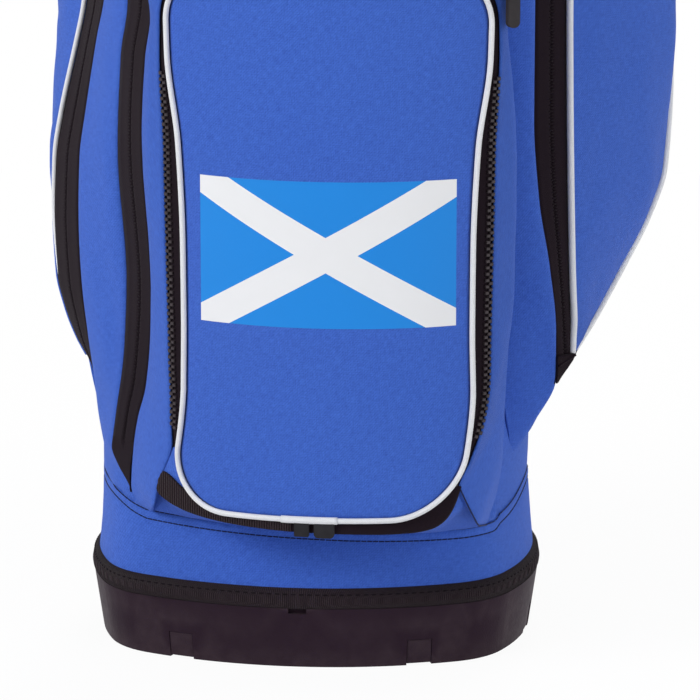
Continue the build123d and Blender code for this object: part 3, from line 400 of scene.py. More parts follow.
def stacked(rings, sides):
    # faces of a stack of rings with a lid at each end
    faces = []
    for base in range(0, (rings - 1) * sides, sides):
        for k in range(sides):
            n = (k + 1) % sides
            faces.append((base + k, base + n, base + sides + n, base + sides + k))
    lids = [tuple(reversed(range(sides))), tuple(range((rings - 1) * sides, rings * sides))]
    return faces + lids


def capsule(length, radius, sides=6):
    points = []
    for a, r in ((-length / 2, 0.45), (-length / 2 + radius * 0.6, 1.0),
                 (length / 2 - radius * 0.6, 1.0), (length / 2, 0.45)):
        for k in range(sides):
            turn = math.tau * k / sides
            points.append((a, radius * r * math.cos(turn), radius * r * math.sin(turn)))
    return points, stacked(4, sides)


def moulded(length, width, height):
    # small block with a chamfered crown, as a moulded zip tooth has
    points = []
    for o, inset in ((-height * 0.3, 0.0), (height * 0.35, 0.0), (height * 0.7, 0.3)):
        a, s = length / 2 - inset, width / 2 - inset
        points += [(-a, -s, o), (a, -s, o), (a, s, o), (-a, s, o)]
    return points, stacked(3, 4)


def beadMesh(name, places, shape, smooth):
    points, faces = [], []
    for point, along, out in places:
        side = out.cross(along).normalized()
        base = len(points)
        points += [(point + along * a + side * s + out * o) * mm for a, s, o in shape[0]]
        faces += [tuple(base + k for k in face) for face in shape[1]]
    mesh = bpy.data.meshes.new(name)
    mesh.from_pydata(points, [], faces)
    mesh.polygons.foreach_set("use_smooth", [smooth] * len(mesh.polygons))
    return mesh


# pieces
def link(name, data):
    item = bpy.data.objects.new(name, data)
    bpy.context.scene.collection.objects.link(item)
    return item


def addPiece(name, mesh, look, body="bag", stands=(), thick=0.0, lining=None):
    piece = link(name, mesh)
    mesh.materials.append(look["material"])
    if thick:
        wall = piece.modifiers.new("cloth", "SOLIDIFY")
        wall.thickness = thick * mm
        wall.offset = -1
        if lining:
            mesh.materials.append(lining["material"])
            wall.material_offset = 1
    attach(piece, body)
    if stands:
        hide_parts(*stands)
    return piece


def addSheet(name, rows, look, loop=False, uvOf=None, **piece):
    addPiece(name, faceOut(gridMesh(name, rows, loop, uvOf)), look, **piece)


def addCloth(name, rails, look, body="bag", stands=(), thick=0.0, uvOf=None, **shape):
    addSheet(name, clothRows(rails, **shape), look, uvOf=uvOf, body=body, stands=stands,
             thick=thick)


def addClosed(name, rows, look, body="bag", stands=()):
    mesh = faceOut(gridMesh(name, rows, loop=True), closed=True)
    return addPiece(name, mesh, look, body, stands)


def addTube(name, line, radius, look, body="bag", stands=(), **shape):
    addClosed(name, tubeRows(line, radius, **shape), look, body, stands)


def addBeads(name, places, shape, look, body="bag", smooth=True):
    addPiece(name, beadMesh(name, places, shape, smooth), look, body)


def addStitches(name, pointAt, look, stitch, lean=0.0):
    # a row of stitches round the bag, through a point for each angle of its plan
    turns = ovalTurns(plan["stitchSteps"])
    turns += turns[:1]
    pitch, length, radius = stitch
    outs = [(ovalOut(turn) + upright * lean).normalized() for turn in turns]
    places = marksAlong([pointAt(turn) for turn in turns], outs, pitch)
    addBeads(name, places, capsule(length, radius), look)


# finishes
def paint(code):
    # sRGB hex to the linear colour that the shader wants
    values = [int(code[i:i + 2], 16) / 255 for i in (1, 3, 5)]
    return [v / 12.92 if v <= 0.04045 else ((v + 0.055) / 1.055)**2.4 for v in values] + [1.0]


def newGroup(name, inputs, outputs):
    group = bpy.data.node_groups.new(name, "ShaderNodeTree")
    for label, value in inputs:
        socket = group.interface.new_socket(name=label, in_out="INPUT",
                                            socket_type="NodeSocketFloat")
        socket.default_value = value
    for label in outputs:
        group.interface.new_socket(name=label, in_out="OUTPUT", socket_type="NodeSocketFloat")
    return group, group.nodes.new("NodeGroupInput"), group.nodes.new("NodeGroupOutput")


def feed(tree, value, socket):
    # sets a socket to a constant, or joins another node's output to it
    if isinstance(value, (int, float, list)):
        socket.default_value = value
    else:
        tree.links.new(value, socket)


def calc(tree, operation, *values):
    node = tree.nodes.new("ShaderNodeMath")
    node.operation = operation
    for socket, value in zip(node.inputs, values):
        feed(tree, value, socket)
    return node.outputs[0]


def within(tree, value):
    return calc(tree, "MINIMUM", calc(tree, "MAXIMUM", value, 0.0), 1.0)


def ridges(tree, count):
    # a rounded ridge for every whole number
    return calc(tree, "ABSOLUTE", calc(tree, "SINE", calc(tree, "MULTIPLY", count, math.pi)))


def noiseOf(tree, vector, scale, detail):
    node = tree.nodes.new("ShaderNodeTexNoise")
    node.inputs["Detail"].default_value = detail
    tree.links.new(vector, node.inputs["Vector"])
    feed(tree, scale, node.inputs["Scale"])
    return node.outputs["Fac"]


def clothMap(tree):
    node = tree.nodes.new("ShaderNodeSeparateXYZ")
    tree.links.new(tree.nodes.new("ShaderNodeUVMap").outputs["UV"], node.inputs[0])
    return node.outputs[0], node.outputs[1]


def objectPlace(tree):
    return tree.nodes.new("ShaderNodeTexCoord").outputs["Object"]


def threadNoise(tree, u, v):
    # uneven thickness of the yarn, drawn out along it
    node = tree.nodes.new("ShaderNodeCombineXYZ")
    tree.links.new(u, node.inputs[0])
    tree.links.new(v, node.inputs[1])
    return noiseOf(tree, node.outputs[0], 1.0, 1.0)


# threads in a repeat, how many lie on top, and how far each thing lightens or lifts the cloth: the
# thread on top and a ridge's height are painted light and shade of the weave, the slubs the yarn's
# own tone
twill = {"repeat": 3.0, "over": 1.5, "slubDraw": 0.14, "overShade": 0.3, "ridgeShade": 0.4,
         "slubTone": 1.1, "ground": 0.07, "slubHeight": 0.5}


def weaveGroup():
    # twill: which thread lies on top, how high it stands, and the yarn's slubs; its Shade is
    # painted light on the raised threads and painted shade in the grooves between them, with the
    # slubs' own uneven tone
    group, given, result = newGroup("weave", [("Pitch", 0.0006)], ["Height", "Shade"])
    u, v = [calc(group, "DIVIDE", way, given.outputs["Pitch"]) for way in clothMap(group)]
    step = calc(group, "SUBTRACT", calc(group, "FLOOR", u), calc(group, "FLOOR", v))
    step = calc(group, "FLOORED_MODULO", step, twill["repeat"])
    over = calc(group, "LESS_THAN", step, twill["over"])
    under = calc(group, "SUBTRACT", 1.0, over)
    height = calc(group, "ADD", calc(group, "MULTIPLY", over, ridges(group, u)),
                  calc(group, "MULTIPLY", under, ridges(group, v)))
    warp = threadNoise(group, u, calc(group, "MULTIPLY", v, twill["slubDraw"]))
    weft = threadNoise(group, calc(group, "MULTIPLY", u, twill["slubDraw"]), v)
    slubs = calc(group, "SUBTRACT", calc(group, "ADD", warp, weft), 1.0)
    # painted shade: the grooves between threads darker, the thread tops and the threads on top
    # lighter
    lean = calc(group, "MULTIPLY", height, twill["ridgeShade"])
    lean = calc(group, "MULTIPLY_ADD", over, twill["overShade"], lean)
    lean = calc(group, "MULTIPLY_ADD", slubs, twill["slubTone"], lean)
    shade = within(group, calc(group, "ADD", lean, twill["ground"]))
    raised = calc(group, "MULTIPLY_ADD", slubs, twill["slubHeight"], height)
    group.links.new(raised, result.inputs["Height"])
    group.links.new(shade, result.inputs["Shade"])
    return group


def ribGroup():
    # cross ribs of woven tape, counted up the cloth map, or across it where Across is 1
    group, given, result = newGroup("ribs", [("Pitch", 0.0012), ("Across", 0.0)], ["Height"])
    u, v = clothMap(group)
    away = calc(group, "MULTIPLY", calc(group, "SUBTRACT", u, v), given.outputs["Across"])
    count = calc(group, "DIVIDE", calc(group, "ADD", v, away), given.outputs["Pitch"])
    group.links.new(ridges(group, count), result.inputs["Height"])
    return group


def fadeGroup():
    # broad unevenness of dye and handling, and a finer mottle
    group, given, result = newGroup("fade", [("Broad", 9.0), ("Fine", 420.0)], ["Broad", "Fine"])
    for label, detail in (("Broad", 3.0), ("Fine", 2.0)):
        mottle = noiseOf(group, objectPlace(group), given.outputs[label], detail)
        group.links.new(mottle, result.inputs[label])
    return group


def grainGroup():
    # pebbled skin of moulded plastic and rubber
    group, given, result = newGroup("grain", [("Scale", 900.0)], ["Height"])
    node = group.nodes.new("ShaderNodeTexVoronoi")
    group.links.new(objectPlace(group), node.inputs["Vector"])
    group.links.new(given.outputs["Scale"], node.inputs["Scale"])
    group.links.new(node.outputs["Distance"], result.inputs["Height"])
    return group


rubbing = {"from": 0.52, "scuffs": 160.0, "detail": 3.0}
dusting = {"colour": "#8d8983", "power": 2.0, "motes": 240.0, "detail": 4.0}


def wearGroup():
    # rubbed edges
    group, given, result = newGroup("edge wear", [("Spread", 0.06)], ["Edge"])
    pointed = group.nodes.new("ShaderNodeNewGeometry").outputs["Pointiness"]
    away = calc(group, "SUBTRACT", pointed, rubbing["from"])
    clear = within(group, calc(group, "DIVIDE", away, given.outputs["Spread"]))
    scuffs = noiseOf(group, objectPlace(group), rubbing["scuffs"], rubbing["detail"])
    group.links.new(calc(group, "MULTIPLY", clear, scuffs), result.inputs["Edge"])
    return group


def dustGroup():
    # settles on what faces up
    group, given, result = newGroup("dust", [("Amount", 0.25)], ["Mask"])
    facing = group.nodes.new("ShaderNodeSeparateXYZ")
    normal = group.nodes.new("ShaderNodeNewGeometry").outputs["Normal"]
    group.links.new(normal, facing.inputs[0])
    up = calc(group, "POWER", calc(group, "MAXIMUM", facing.outputs[2], 0.0), dusting["power"])
    motes = noiseOf(group, objectPlace(group), dusting["motes"], dusting["detail"])
    mask = calc(group, "MULTIPLY", calc(group, "MULTIPLY", up, motes), given.outputs["Amount"])
    group.links.new(mask, result.inputs["Mask"])
    return group


groups = {"weave": weaveGroup(), "ribs": ribGroup(), "fade": fadeGroup(),
          "grain": grainGroup(), "wear": wearGroup(), "dust": dustGroup()}


def useGroup(tree, name, **values):
    node = tree.nodes.new("ShaderNodeGroup")
    node.node_tree = groups[name]
    for label, value in values.items():
        node.inputs[label].default_value = value
    return node.outputs


def mixed(tree, share, first, second):
    # first and second are colour codes or sockets
    node = tree.nodes.new("ShaderNodeMix")
    node.data_type = "RGBA"
    tree.links.new(share, node.inputs["Factor"])
    sockets = [s for s in node.inputs if s.type == "RGBA"]
    for socket, value in zip(sockets, (first, second)):
        feed(tree, paint(value) if isinstance(value, str) else value, socket)
    return [s for s in node.outputs if s.type == "RGBA"][0]


def newLook(name, slot, roughness, **sockets):
    material = bpy.data.materials.new(name)
    material.use_nodes = True
    shader = material.node_tree.nodes["Principled BSDF"]
    shader.inputs["Roughness"].default_value = roughness
    for label, value in sockets.items():
        shader.inputs[label.replace("_", " ")].default_value = value
    return {"material": material, "tree": material.node_tree, "shader": shader, "slot": slot}


def wire(look, label, value):
    feed(look["tree"], value, look["shader"].inputs[label])


def bumped(look, height, distance):
    bump = look["tree"].nodes.new("ShaderNodeBump")
    for label, value in (("Distance", distance), ("Strength", 1.0), ("Height", height)):
        feed(look["tree"], value, bump.inputs[label])
    wire(look, "Normal", bump.outputs["Normal"])


# what all the cloths, tapes, mouldings and metals have in common
clothBase = {"sheenRough": 0.5, "mottleHeight": 0.3}
tapeBase = {"sheen": 0.05, "threads": 0.55, "mottle": 700.0, "threadShade": 0.45, "mottleTone": 0.5}
mouldedBase = {"broad": 14.0, "fine": 260.0, "roughVaries": 0.16}
metalBase = {"broad": 60.0, "fine": 900.0, "wearSpread": 0.1, "roughVaries": 0.2,
             "depth": 0.00002}


def varyRough(look, pattern, middle, by):
    wire(look, "Roughness", calc(look["tree"], "MULTIPLY_ADD", pattern, by, middle - by / 2))


def clothLook(name, slot, values):
    look = newLook(name, slot, values["rough"], Sheen_Weight=values["sheen"],
                   Sheen_Roughness=clothBase["sheenRough"], Specular_IOR_Level=values["gloss"])
    tree = look["tree"]
    weave = useGroup(tree, "weave", Pitch=values["pitch"])
    fade = useGroup(tree, "fade")
    # the threads' colour carries the weave's painted light and shade, with the yarn's own slub
    # tone
    threads = mixed(tree, weave["Shade"], values["dark"], values["light"])
    worn = calc(tree, "MULTIPLY", fade["Broad"], values["fade"])
    look["colour"] = mixed(tree, worn, threads, values["faded"])
    wire(look, "Base Color", look["colour"])
    look["height"] = calc(tree, "MULTIPLY_ADD", fade["Fine"], clothBase["mottleHeight"],
                          weave["Height"])
    bumped(look, look["height"], values["depth"])
    return look


def tapeLook(name, slot, values):
    look = newLook(name, slot, values["rough"], Sheen_Weight=tapeBase["sheen"],
                   Specular_IOR_Level=values["gloss"])
    tree = look["tree"]
    ribs = useGroup(tree, "ribs", Pitch=values["pitch"], Across=values.get("across", 0.0))
    weave = useGroup(tree, "weave", Pitch=values["pitch"] * tapeBase["threads"])
    fade = useGroup(tree, "fade", Fine=tapeBase["mottle"])
    height = calc(tree, "MULTIPLY_ADD", ribs["Height"], values["ribShare"], weave["Height"])
    # the colour is painted shade in the grooves between ribs and threads and painted light on
    # their tops, with the yarn's own mottle
    ground = calc(tree, "MULTIPLY", fade["Fine"], tapeBase["mottleTone"])
    ground = calc(tree, "MULTIPLY_ADD", weave["Height"], tapeBase["threadShade"], ground)
    shade = calc(tree, "MULTIPLY_ADD", ribs["Height"], values["tone"],
                 calc(tree, "MULTIPLY", ground, 1 - values["tone"]))
    wire(look, "Base Color", mixed(tree, shade, values["dark"], values["light"]))
    bumped(look, height, values["depth"])
    return look


def mouldedLook(name, slot, values):
    look = newLook(name, slot, values["rough"], Specular_IOR_Level=values["gloss"])
    tree = look["tree"]
    grain = useGroup(tree, "grain", Scale=values["grain"])
    fade = useGroup(tree, "fade", Broad=mouldedBase["broad"], Fine=mouldedBase["fine"])
    wear = useGroup(tree, "wear")
    dust = useGroup(tree, "dust", Amount=values["dust"])
    base = mixed(tree, fade["Broad"], values["dark"], values["light"])
    rubbed = mixed(tree, calc(tree, "MULTIPLY", wear["Edge"], values["wear"]), base,
                   values["rubbed"])
    wire(look, "Base Color", mixed(tree, dust["Mask"], rubbed, dusting["colour"]))
    varyRough(look, fade["Fine"], values["rough"], mouldedBase["roughVaries"])
    bumped(look, grain["Height"], values["depth"])
    return look


def metalLook(name, slot, values):
    look = newLook(name, slot, values["rough"], Metallic=values["metal"],
                   Specular_IOR_Level=values["gloss"])
    tree = look["tree"]
    fade = useGroup(tree, "fade", Broad=metalBase["broad"], Fine=metalBase["fine"])
    wear = useGroup(tree, "wear", Spread=metalBase["wearSpread"])
    base = mixed(tree, fade["Broad"], values["dark"], values["light"])
    wire(look, "Base Color", mixed(tree, wear["Edge"], base, values["rubbed"]))
    varyRough(look, fade["Fine"], values["rough"], metalBase["roughVaries"])
    bumped(look, fade["Fine"], metalBase["depth"])
    return look


# for the cloths, dark and light are the threads' colour in painted shade and in painted light
blueValues = {"dark": "#2a50b4", "light": "#4470d6", "faded": "#547dd6", "fade": 0.16,
              "pitch": 0.0006, "depth": 0.00016, "rough": 0.74, "sheen": 0.06, "gloss": 0.2}
panelPrint = {"azure": "#1a85dc", "white": "#e8e9ec", "centre": (0.0008, 0.2422),
              "half": (0.0696, 0.0392), "armHalf": 0.0082, "rough": 0.5, "smooth": 0.75}
linerValues = {"dark": "#14161c", "light": "#2a2e38", "faded": "#30343c", "fade": 0.2,
               "pitch": 0.0007, "depth": 0.00015, "rough": 0.85, "sheen": 0.0, "gloss": 0.2}
fleeceValues = {"dark": "#101012", "light": "#2c2c30", "faded": "#3a3a3e", "fade": 0.3,
                "pitch": 0.0019, "depth": 0.0006, "rough": 0.95, "sheen": 0.35, "gloss": 0.1}
padValues = {"dark": "#15161a", "light": "#34363c", "faded": "#3a3c42", "fade": 0.2,
             "pitch": 0.0021, "depth": 0.0005, "rough": 0.85, "sheen": 0.15, "gloss": 0.2}
pipingValues = {"dark": "#d8dae0", "light": "#ebecef", "faded": "#e4e5e8", "fade": 0.15,
                "pitch": 0.0004, "depth": 0.00006, "rough": 0.5, "sheen": 0.1, "gloss": 0.4}
# for the tapes, dark and light are the colours in the ribs' painted shade and on their painted lit
# tops
webbingValues = {"dark": "#0f0d0f", "light": "#2c282d", "pitch": 0.0016, "depth": 0.0003,
                 "tone": 0.6, "ribShare": 1.5, "rough": 0.7, "gloss": 0.3}
ribbingValues = {"dark": "#060304", "light": "#3c3036", "pitch": 0.00125, "depth": 0.0003,
                 "across": 1.0, "tone": 0.85, "ribShare": 2.0, "rough": 0.8, "gloss": 0.06}
bindingValues = {"dark": "#0a0608", "light": "#3a2d33", "pitch": 0.00135, "depth": 0.0003,
                 "tone": 0.9, "ribShare": 2.0, "rough": 0.8, "gloss": 0.06}
zipTapeValues = {"dark": "#120a10", "light": "#20151e", "pitch": 0.0011, "depth": 0.0001,
                 "tone": 0.2, "ribShare": 0.4, "rough": 0.75, "gloss": 0.06}
teethValues = {"dark": "#1f181c", "light": "#2a2226", "rubbed": "#453a40", "wear": 0.5,
               "dust": 0.05, "grain": 1800.0, "depth": 0.00003, "rough": 0.45, "gloss": 0.4}
basePlasticValues = {"dark": "#251923", "light": "#2d1f2a", "rubbed": "#4e4247", "wear": 0.5,
                     "dust": 0.1, "grain": 1100.0, "depth": 0.00008, "rough": 0.52, "gloss": 0.06}
collarPlasticValues = {"dark": "#1d1d21", "light": "#2a2a2f", "rubbed": "#55555c", "wear": 0.5,
                       "dust": 0.2, "grain": 1000.0, "depth": 0.0001, "rough": 0.5, "gloss": 0.45}
pullValues = {"dark": "#120f12", "light": "#1c181b", "rubbed": "#3a3539", "wear": 0.6,
              "dust": 0.05, "grain": 1500.0, "depth": 0.00008, "rough": 0.62, "gloss": 0.25}
gripValues = {"dark": "#17171a", "light": "#252529", "rubbed": "#434348", "wear": 0.6,
              "dust": 0.25, "grain": 800.0, "depth": 0.0002, "rough": 0.68, "gloss": 0.35}
zipMetalValues = {"dark": "#0f0e10", "light": "#1b1a1d", "rubbed": "#343337", "metal": 0.1,
                  "rough": 0.5, "gloss": 0.12}
steelValues = {"dark": "#6a6d72", "light": "#8d9095", "rubbed": "#b4b6b9", "metal": 1.0,
               "rough": 0.34, "gloss": 0.5}
rodValues = {"dark": "#202125", "light": "#303238", "rubbed": "#55575c", "metal": 0.2,
             "rough": 0.5, "gloss": 0.5}
threadValues = {"dark": "#12183a", "light": "#232c58", "pitch": 0.0005, "depth": 0.00005,
                "tone": 0.3, "ribShare": 0.3, "rough": 0.8, "gloss": 0.2}


def panelLook(name, slot, values):
    # printed flag: a white diagonal cross on a blue field, laid out on the panel's cloth map
    look = clothLook(name, slot, values)
    tree = look["tree"]
    u, v = clothMap(tree)
    halfWide, halfHigh = panelPrint["half"]
    side = calc(tree, "SUBTRACT", u, panelPrint["centre"][0])
    rise = calc(tree, "SUBTRACT", v, panelPrint["centre"][1])
    inWide = calc(tree, "LESS_THAN", calc(tree, "ABSOLUTE", side), halfWide)
    inHigh = calc(tree, "LESS_THAN", calc(tree, "ABSOLUTE", rise), halfHigh)
    field = calc(tree, "MULTIPLY", inWide, inHigh)
    reach = math.hypot(halfWide, halfHigh)
    along, up = halfHigh / reach, halfWide / reach
    arms = []
    for lean in (-1, 1):
        gap = calc(tree, "MULTIPLY_ADD", side, lean * along, calc(tree, "MULTIPLY", rise, up))
        arms.append(calc(tree, "LESS_THAN", calc(tree, "ABSOLUTE", gap), panelPrint["armHalf"]))
    cross = calc(tree, "MAXIMUM", arms[0], arms[1])
    ink = mixed(tree, cross, panelPrint["azure"], panelPrint["white"])
    wire(look, "Base Color", mixed(tree, field, look["colour"], ink))
    gain = panelPrint["rough"] - values["rough"]
    wire(look, "Roughness", calc(tree, "MULTIPLY_ADD", field, gain, values["rough"]))
    kept = calc(tree, "MULTIPLY_ADD", field, -panelPrint["smooth"], 1.0)
    bumped(look, calc(tree, "MULTIPLY", look["height"], kept), values["depth"])
    return look


looks = {name: make(name, slot, values) for name, make, slot, values in (
    ("blueCloth", clothLook, "blue_fabric", blueValues),
    ("panelCloth", panelLook, "panel_fabric", blueValues),
    ("liner", clothLook, "liner_fabric", linerValues),
    ("fleece", clothLook, "bar_fleece", fleeceValues),
    ("padCloth", clothLook, "pad_fabric", padValues),
    ("piping", clothLook, "white_piping", pipingValues),
    ("webbing", tapeLook, "black_webbing", webbingValues),
    ("ribbing", tapeLook, "black_webbing", ribbingValues),
    ("binding", tapeLook, "black_webbing", bindingValues),
    ("zipTape", tapeLook, "zip_tape", zipTapeValues),
    ("zipTeeth", mouldedLook, "zip_tape", teethValues),
    ("darkThread", tapeLook, "blue_fabric", threadValues),
    ("blackThread", tapeLook, "black_webbing", zipTapeValues),
    ("basePlastic", mouldedLook, "base_plastic", basePlasticValues),
    ("collarPlastic", mouldedLook, "collar_plastic", collarPlasticValues),
    ("pullRubber", mouldedLook, "pull_rubber", pullValues),
    ("gripRubber", mouldedLook, "grip_rubber", gripValues),
    ("zipMetal", metalLook, "zip_metal", zipMetalValues),
    ("steel", metalLook, "steel", steelValues),
    ("stayRod", metalLook, "stay_rod", rodValues),
)}

solidLooks = {
    "basePlastic": ["base_cup", "base_foot"],
    "collarPlastic": ["top_collar"],
    "pullRubber": ["ball_pull", "right_pull", "left_pull", "upper_pull"],
    "gripRubber": ["front_grip", "lift_bail_sleeve"],
    "zipMetal": ["panel_slider", "panel_zip_box", "ball_slider", "right_slider", "left_slider",
                 "upper_slider"],
    "steel": ["lift_bail", "lift_bail_pins", "towel_ring", "towel_rivet", "strap_adjuster",
              "strap_loops"],
    "stayRod": ["body_stays"],
}
for lookName, nodeNames in solidLooks.items():
    for nodeName in nodeNames:
        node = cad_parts[nodeName]
        for materialSlot in node.material_slots:
            materialSlot.material = looks[lookName]["material"]
        if not node.material_slots:
            node.data.materials.append(looks[lookName]["material"])
print("finishes made:", len(looks))


# base, skirt and body
trimBand = {"ribPitch": 1.25, "ribHeight": 0.32, "samples": 4, "stitchAt": 42.4, "stitchOut": 4.6,
            "stitchLean": 0.6, "stitch": (4.4, 2.6, 0.45),
            "profile": ((2.0, 34.0), (4.4, 34.2), (5.3, 35.6), (5.5, 37.6), (5.0, 40.4),
                        (4.2, 42.8), (3.1, 44.8), (1.4, 45.6))}
skirt = {"columns": 240, "rows": (72.5, 78.0), "under": -3.2, "clear": 100.0, "lap": 0.6,
         "lapRun": 1.8, "soft": 0.5, "softScale": 0.03, "softFrom": 46, "softTo": 70,
         "stitch": (3.2, 2.9, 0.36), "stitchIn": 1.4, "pocketProud": 1.05, "frontAt": 265,
         "frontHalf": 62, "frontRun": 10,
         "profile": ((2.0, 43.6, 0.0), (1.3, 50.0, 0.0), (0.3, 58.0, 0.3), (-0.5, 66.0, 0.7),
                     (-0.9, 70.6, 1.0), (-1.6, 72.5, 1.0), (-1.0, 74.2, 1.0), (-1.0, 76.6, 1.0),
                     (-1.5, 78.2, 1.0), (-2.4, 79.0, 1.0), (-3.0, 76.0, 1.0))}
# how far the skirt's sewn head rises round the bag, by angle from the right side
skirtRise = graph((0, 12), (20, 4), (45, -1), (90, 0), (135, 5), (180, 13.8), (210, 11.4),
                  (240, 5), (268, 0.2), (295, -2.9), (327, -2.8), (340, 2), (354, 10.4), (360, 12))
bodyTube = {"columns": 200, "foot": 75.0, "head": 812.5, "rowPitch": 12, "wall": 2.4,
            "soft": 0.9, "softScale": 0.012, "settle": 0.4, "folds": 0.8, "foldSeed": 7.0,
            "tuck": 1.1, "tuckFrom": 106, "tuckRun": 26, "fadeFrom": 90, "fadeTo": 785,
            "fadeRun": 40, "dipAt": -55, "dipHalf": 24}
# how deep the body gives way to the left pocket's zip, by height
bodyDip = graph((320, 0), (360, 2.2), (410, 2.2), (450, 0))


def buildTrimBand():
    samples = trimBand["samples"]
    turns = ovalTurns(round(ovalPerimeter() / trimBand["ribPitch"]) * samples)
    last = len(trimBand["profile"]) - 1
    rows = []
    for k, (offset, height) in enumerate(trimBand["profile"]):
        swell = math.sin(math.pi * k / last) * trimBand["ribHeight"]
        rows.append([ovalAt(turn, offset + swell * abs(math.cos(math.pi * i / samples)), height)
                     for i, turn in enumerate(turns)])
    addSheet("trimBand", rows, looks["ribbing"], loop=True, stands=["base_trim_band"])
    addStitches("trimStitches",
                lambda turn: ovalAt(turn, trimBand["stitchOut"], trimBand["stitchAt"]),
                looks["blackThread"], trimBand["stitch"], trimBand["stitchLean"])


def skirtLift(turn):
    return skirtRise(turn % 360)


def buildSkirt():
    turns = ovalTurns(skirt["columns"])
    rows = []
    for offset, height, share in skirt["profile"]:
        soft = skirt["soft"] if skirt["softFrom"] < height < skirt["softTo"] else 0
        line = []
        for turn in turns:
            point = ovalAt(turn, offset, height + share * skirtLift(turn))
            slack = soft * noise.noise(point * skirt["softScale"])
            line.append(point + ovalOut(turn) * slack)
        rows.append(line)
    addSheet("skirtBand", rows, looks["blueCloth"], loop=True, stands=["skirt_band"])
    for name, height, proud in (("skirtStitchesLow", skirt["rows"][0], 0.0),
                                ("skirtStitchesHigh", skirt["rows"][1], skirt["pocketProud"])):
        def stitchAt(turn):
            # across the front the upper row also holds the pocket's foot, so it lies further out
            away = abs(turn % 360 - skirt["frontAt"])
            front = clamp((skirt["frontHalf"] - away) / skirt["frontRun"])
            return ovalAt(turn, proud * front - skirt["stitchIn"], height + skirtLift(turn))
        addStitches(name, stitchAt, looks["darkThread"], skirt["stitch"])


def buildBody():
    turns = ovalTurns(bodyTube["columns"])
    rows = []
    for height in spread(bodyTube["foot"], bodyTube["head"], bodyTube["rowPitch"]):
        fade = clamp(min(height - bodyTube["fadeFrom"], bodyTube["fadeTo"] - height)
                     / bodyTube["fadeRun"])
        tuck = bodyTube["tuck"] * clamp((bodyTube["tuckFrom"] - height) / bodyTube["tuckRun"])
        line = []
        for turn in turns:
            point = ovalAt(turn, plan["bodySkin"] - tuck, height)
            uneven = noise.noise(point * bodyTube["softScale"]) - bodyTube["settle"]
            slack = bodyTube["soft"] * fade * uneven
            slack += bodyTube["folds"] * fade * foldAt(turn * 2, height, bodyTube["foldSeed"])
            if point.x < 0:
                away = abs(point.y - bodyTube["dipAt"]) / bodyTube["dipHalf"]
                slack -= bodyDip(height) * max(0, 1 - away)
            line.append(point + ovalOut(turn) * slack)
        rows.append(line)
    addSheet("bodyTube", rows, looks["blueCloth"], loop=True, stands=["body_shell"],
             thick=bodyTube["wall"], lining=looks["liner"])


buildTrimBand()
buildSkirt()
buildBody()
print("base trim, skirt and body made")


# zips
zipStrip = {"sink": 1.0, "groove": 0.8, "grooveRun": 0.55, "ridge": 0.35, "ridgeAt": 2.2,
            "ridgeRun": 1.2, "thick": 0.9, "linkPitch": 1.7, "linkLength": 3.0,
            "linkRadius": 0.42, "linkUp": 0.2, "linkStep": 0.35, "least": 8.0,
            "shares": (0.0, 0.14, 0.28, 0.4, 0.455, 0.485, 0.5, 0.515, 0.545, 0.6, 0.72, 0.86,
                       1.0)}


def buildZip(name, railA, railB, stands=()):
    # flat zip: two tapes that meet over a hidden coil, whose links show as a fine row
    rows, line, outs = [], [], []
    for a, b in zip(railA, railB):
        across = b - a
        out = across.cross(upright)
        if out.length < 1e-6:
            out = levelled(a)
        out.normalize()
        if out.dot(a + b) < 0:
            out = -out
        row = []
        for share in zipStrip["shares"]:
            near = abs(share - 0.5) * across.length
            depth = zipStrip["sink"] + zipStrip["groove"] * hump(near, zipStrip["grooveRun"])
            depth -= zipStrip["ridge"] * hump(near - zipStrip["ridgeAt"], zipStrip["ridgeRun"])
            row.append(a + across * share - out * depth)
        rows.append(row)
        line.append(a.lerp(b, 0.5) - out * (zipStrip["sink"] - zipStrip["linkUp"]))
        outs.append(out)
    addSheet(name, rows, looks["zipTape"], stands=stands, thick=zipStrip["thick"])
    wide = [k for k, (a, b) in enumerate(zip(railA, railB)) if (b - a).length > zipStrip["least"]]
    span = slice(wide[0], wide[-1] + 1)
    links = []
    for k, (point, along, out) in enumerate(marksAlong(line[span], outs[span],
                                                       zipStrip["linkPitch"])):
        side = out.cross(along).normalized()
        links.append((point + side * zipStrip["linkStep"] * (1 if k % 2 else -1), side, out))
    shape = capsule(zipStrip["linkLength"], zipStrip["linkRadius"], 5)
    addBeads(name + "Coil", links, shape, looks["zipTape"])


# ball pocket
ball = {"x": 20.0, "centreY": 12.0, "radius": 162.0, "reach": 150.0, "runLow": 408.0,
        "runHigh": 428.0, "head": 436.0, "cornerSlack": 14.0, "slackFrom": 190, "slackRun": 105,
        "slackAt": 45, "slackWide": 60}
panel = {"foot": 99.8, "head": 392.0, "footHalf": 76.1, "headHalf": 84.0, "footRadius": 32.0,
         "headRadius": 30.0, "flatSteps": 12, "columns": 44, "bunch": 0.8, "thick": 2.0,
         "lean": 8.2, "leanFrom": 165.0, "leanRun": 59.0, "edgeSink": 0.9, "edgeRun": 2.0,
         "waves": 0.5, "waveRun": 20}
panelHalf = graph((131.8, 76.1), (165, 75.8), (200, 75.2), (243, 75.4), (296, 77.6), (343, 83.5),
                  (362, 84))
piping = {"radius": 1.5, "at": 1.1, "proud": 0.6, "join": 0.5}
panelZip = {"tapeFrom": 2.0, "underEdge": 2.2, "toothPitch": 3.4, "tooth": (1.9, 2.4, 1.5),
            "sink": 1.3, "teethLow": 137.0, "teethHigh": 338.0, "toothAway": 0.9, "toothUp": 0.3,
            "gap": 0.2, "bagSink": 0.7, "lap": 1.2, "lapSink": 1.7, "thick": 0.8}

# how far the black of the zip reaches from the panel before the pocket's blue edge covers it
zipReach = graph((90, 5.4), (118, 5.2), (128, 5.6), (142, 8.4), (180, 11.2), (250, 12.2),
                 (300, 10.6), (340, 7.4), (372, 6.0), (405, 6.0))

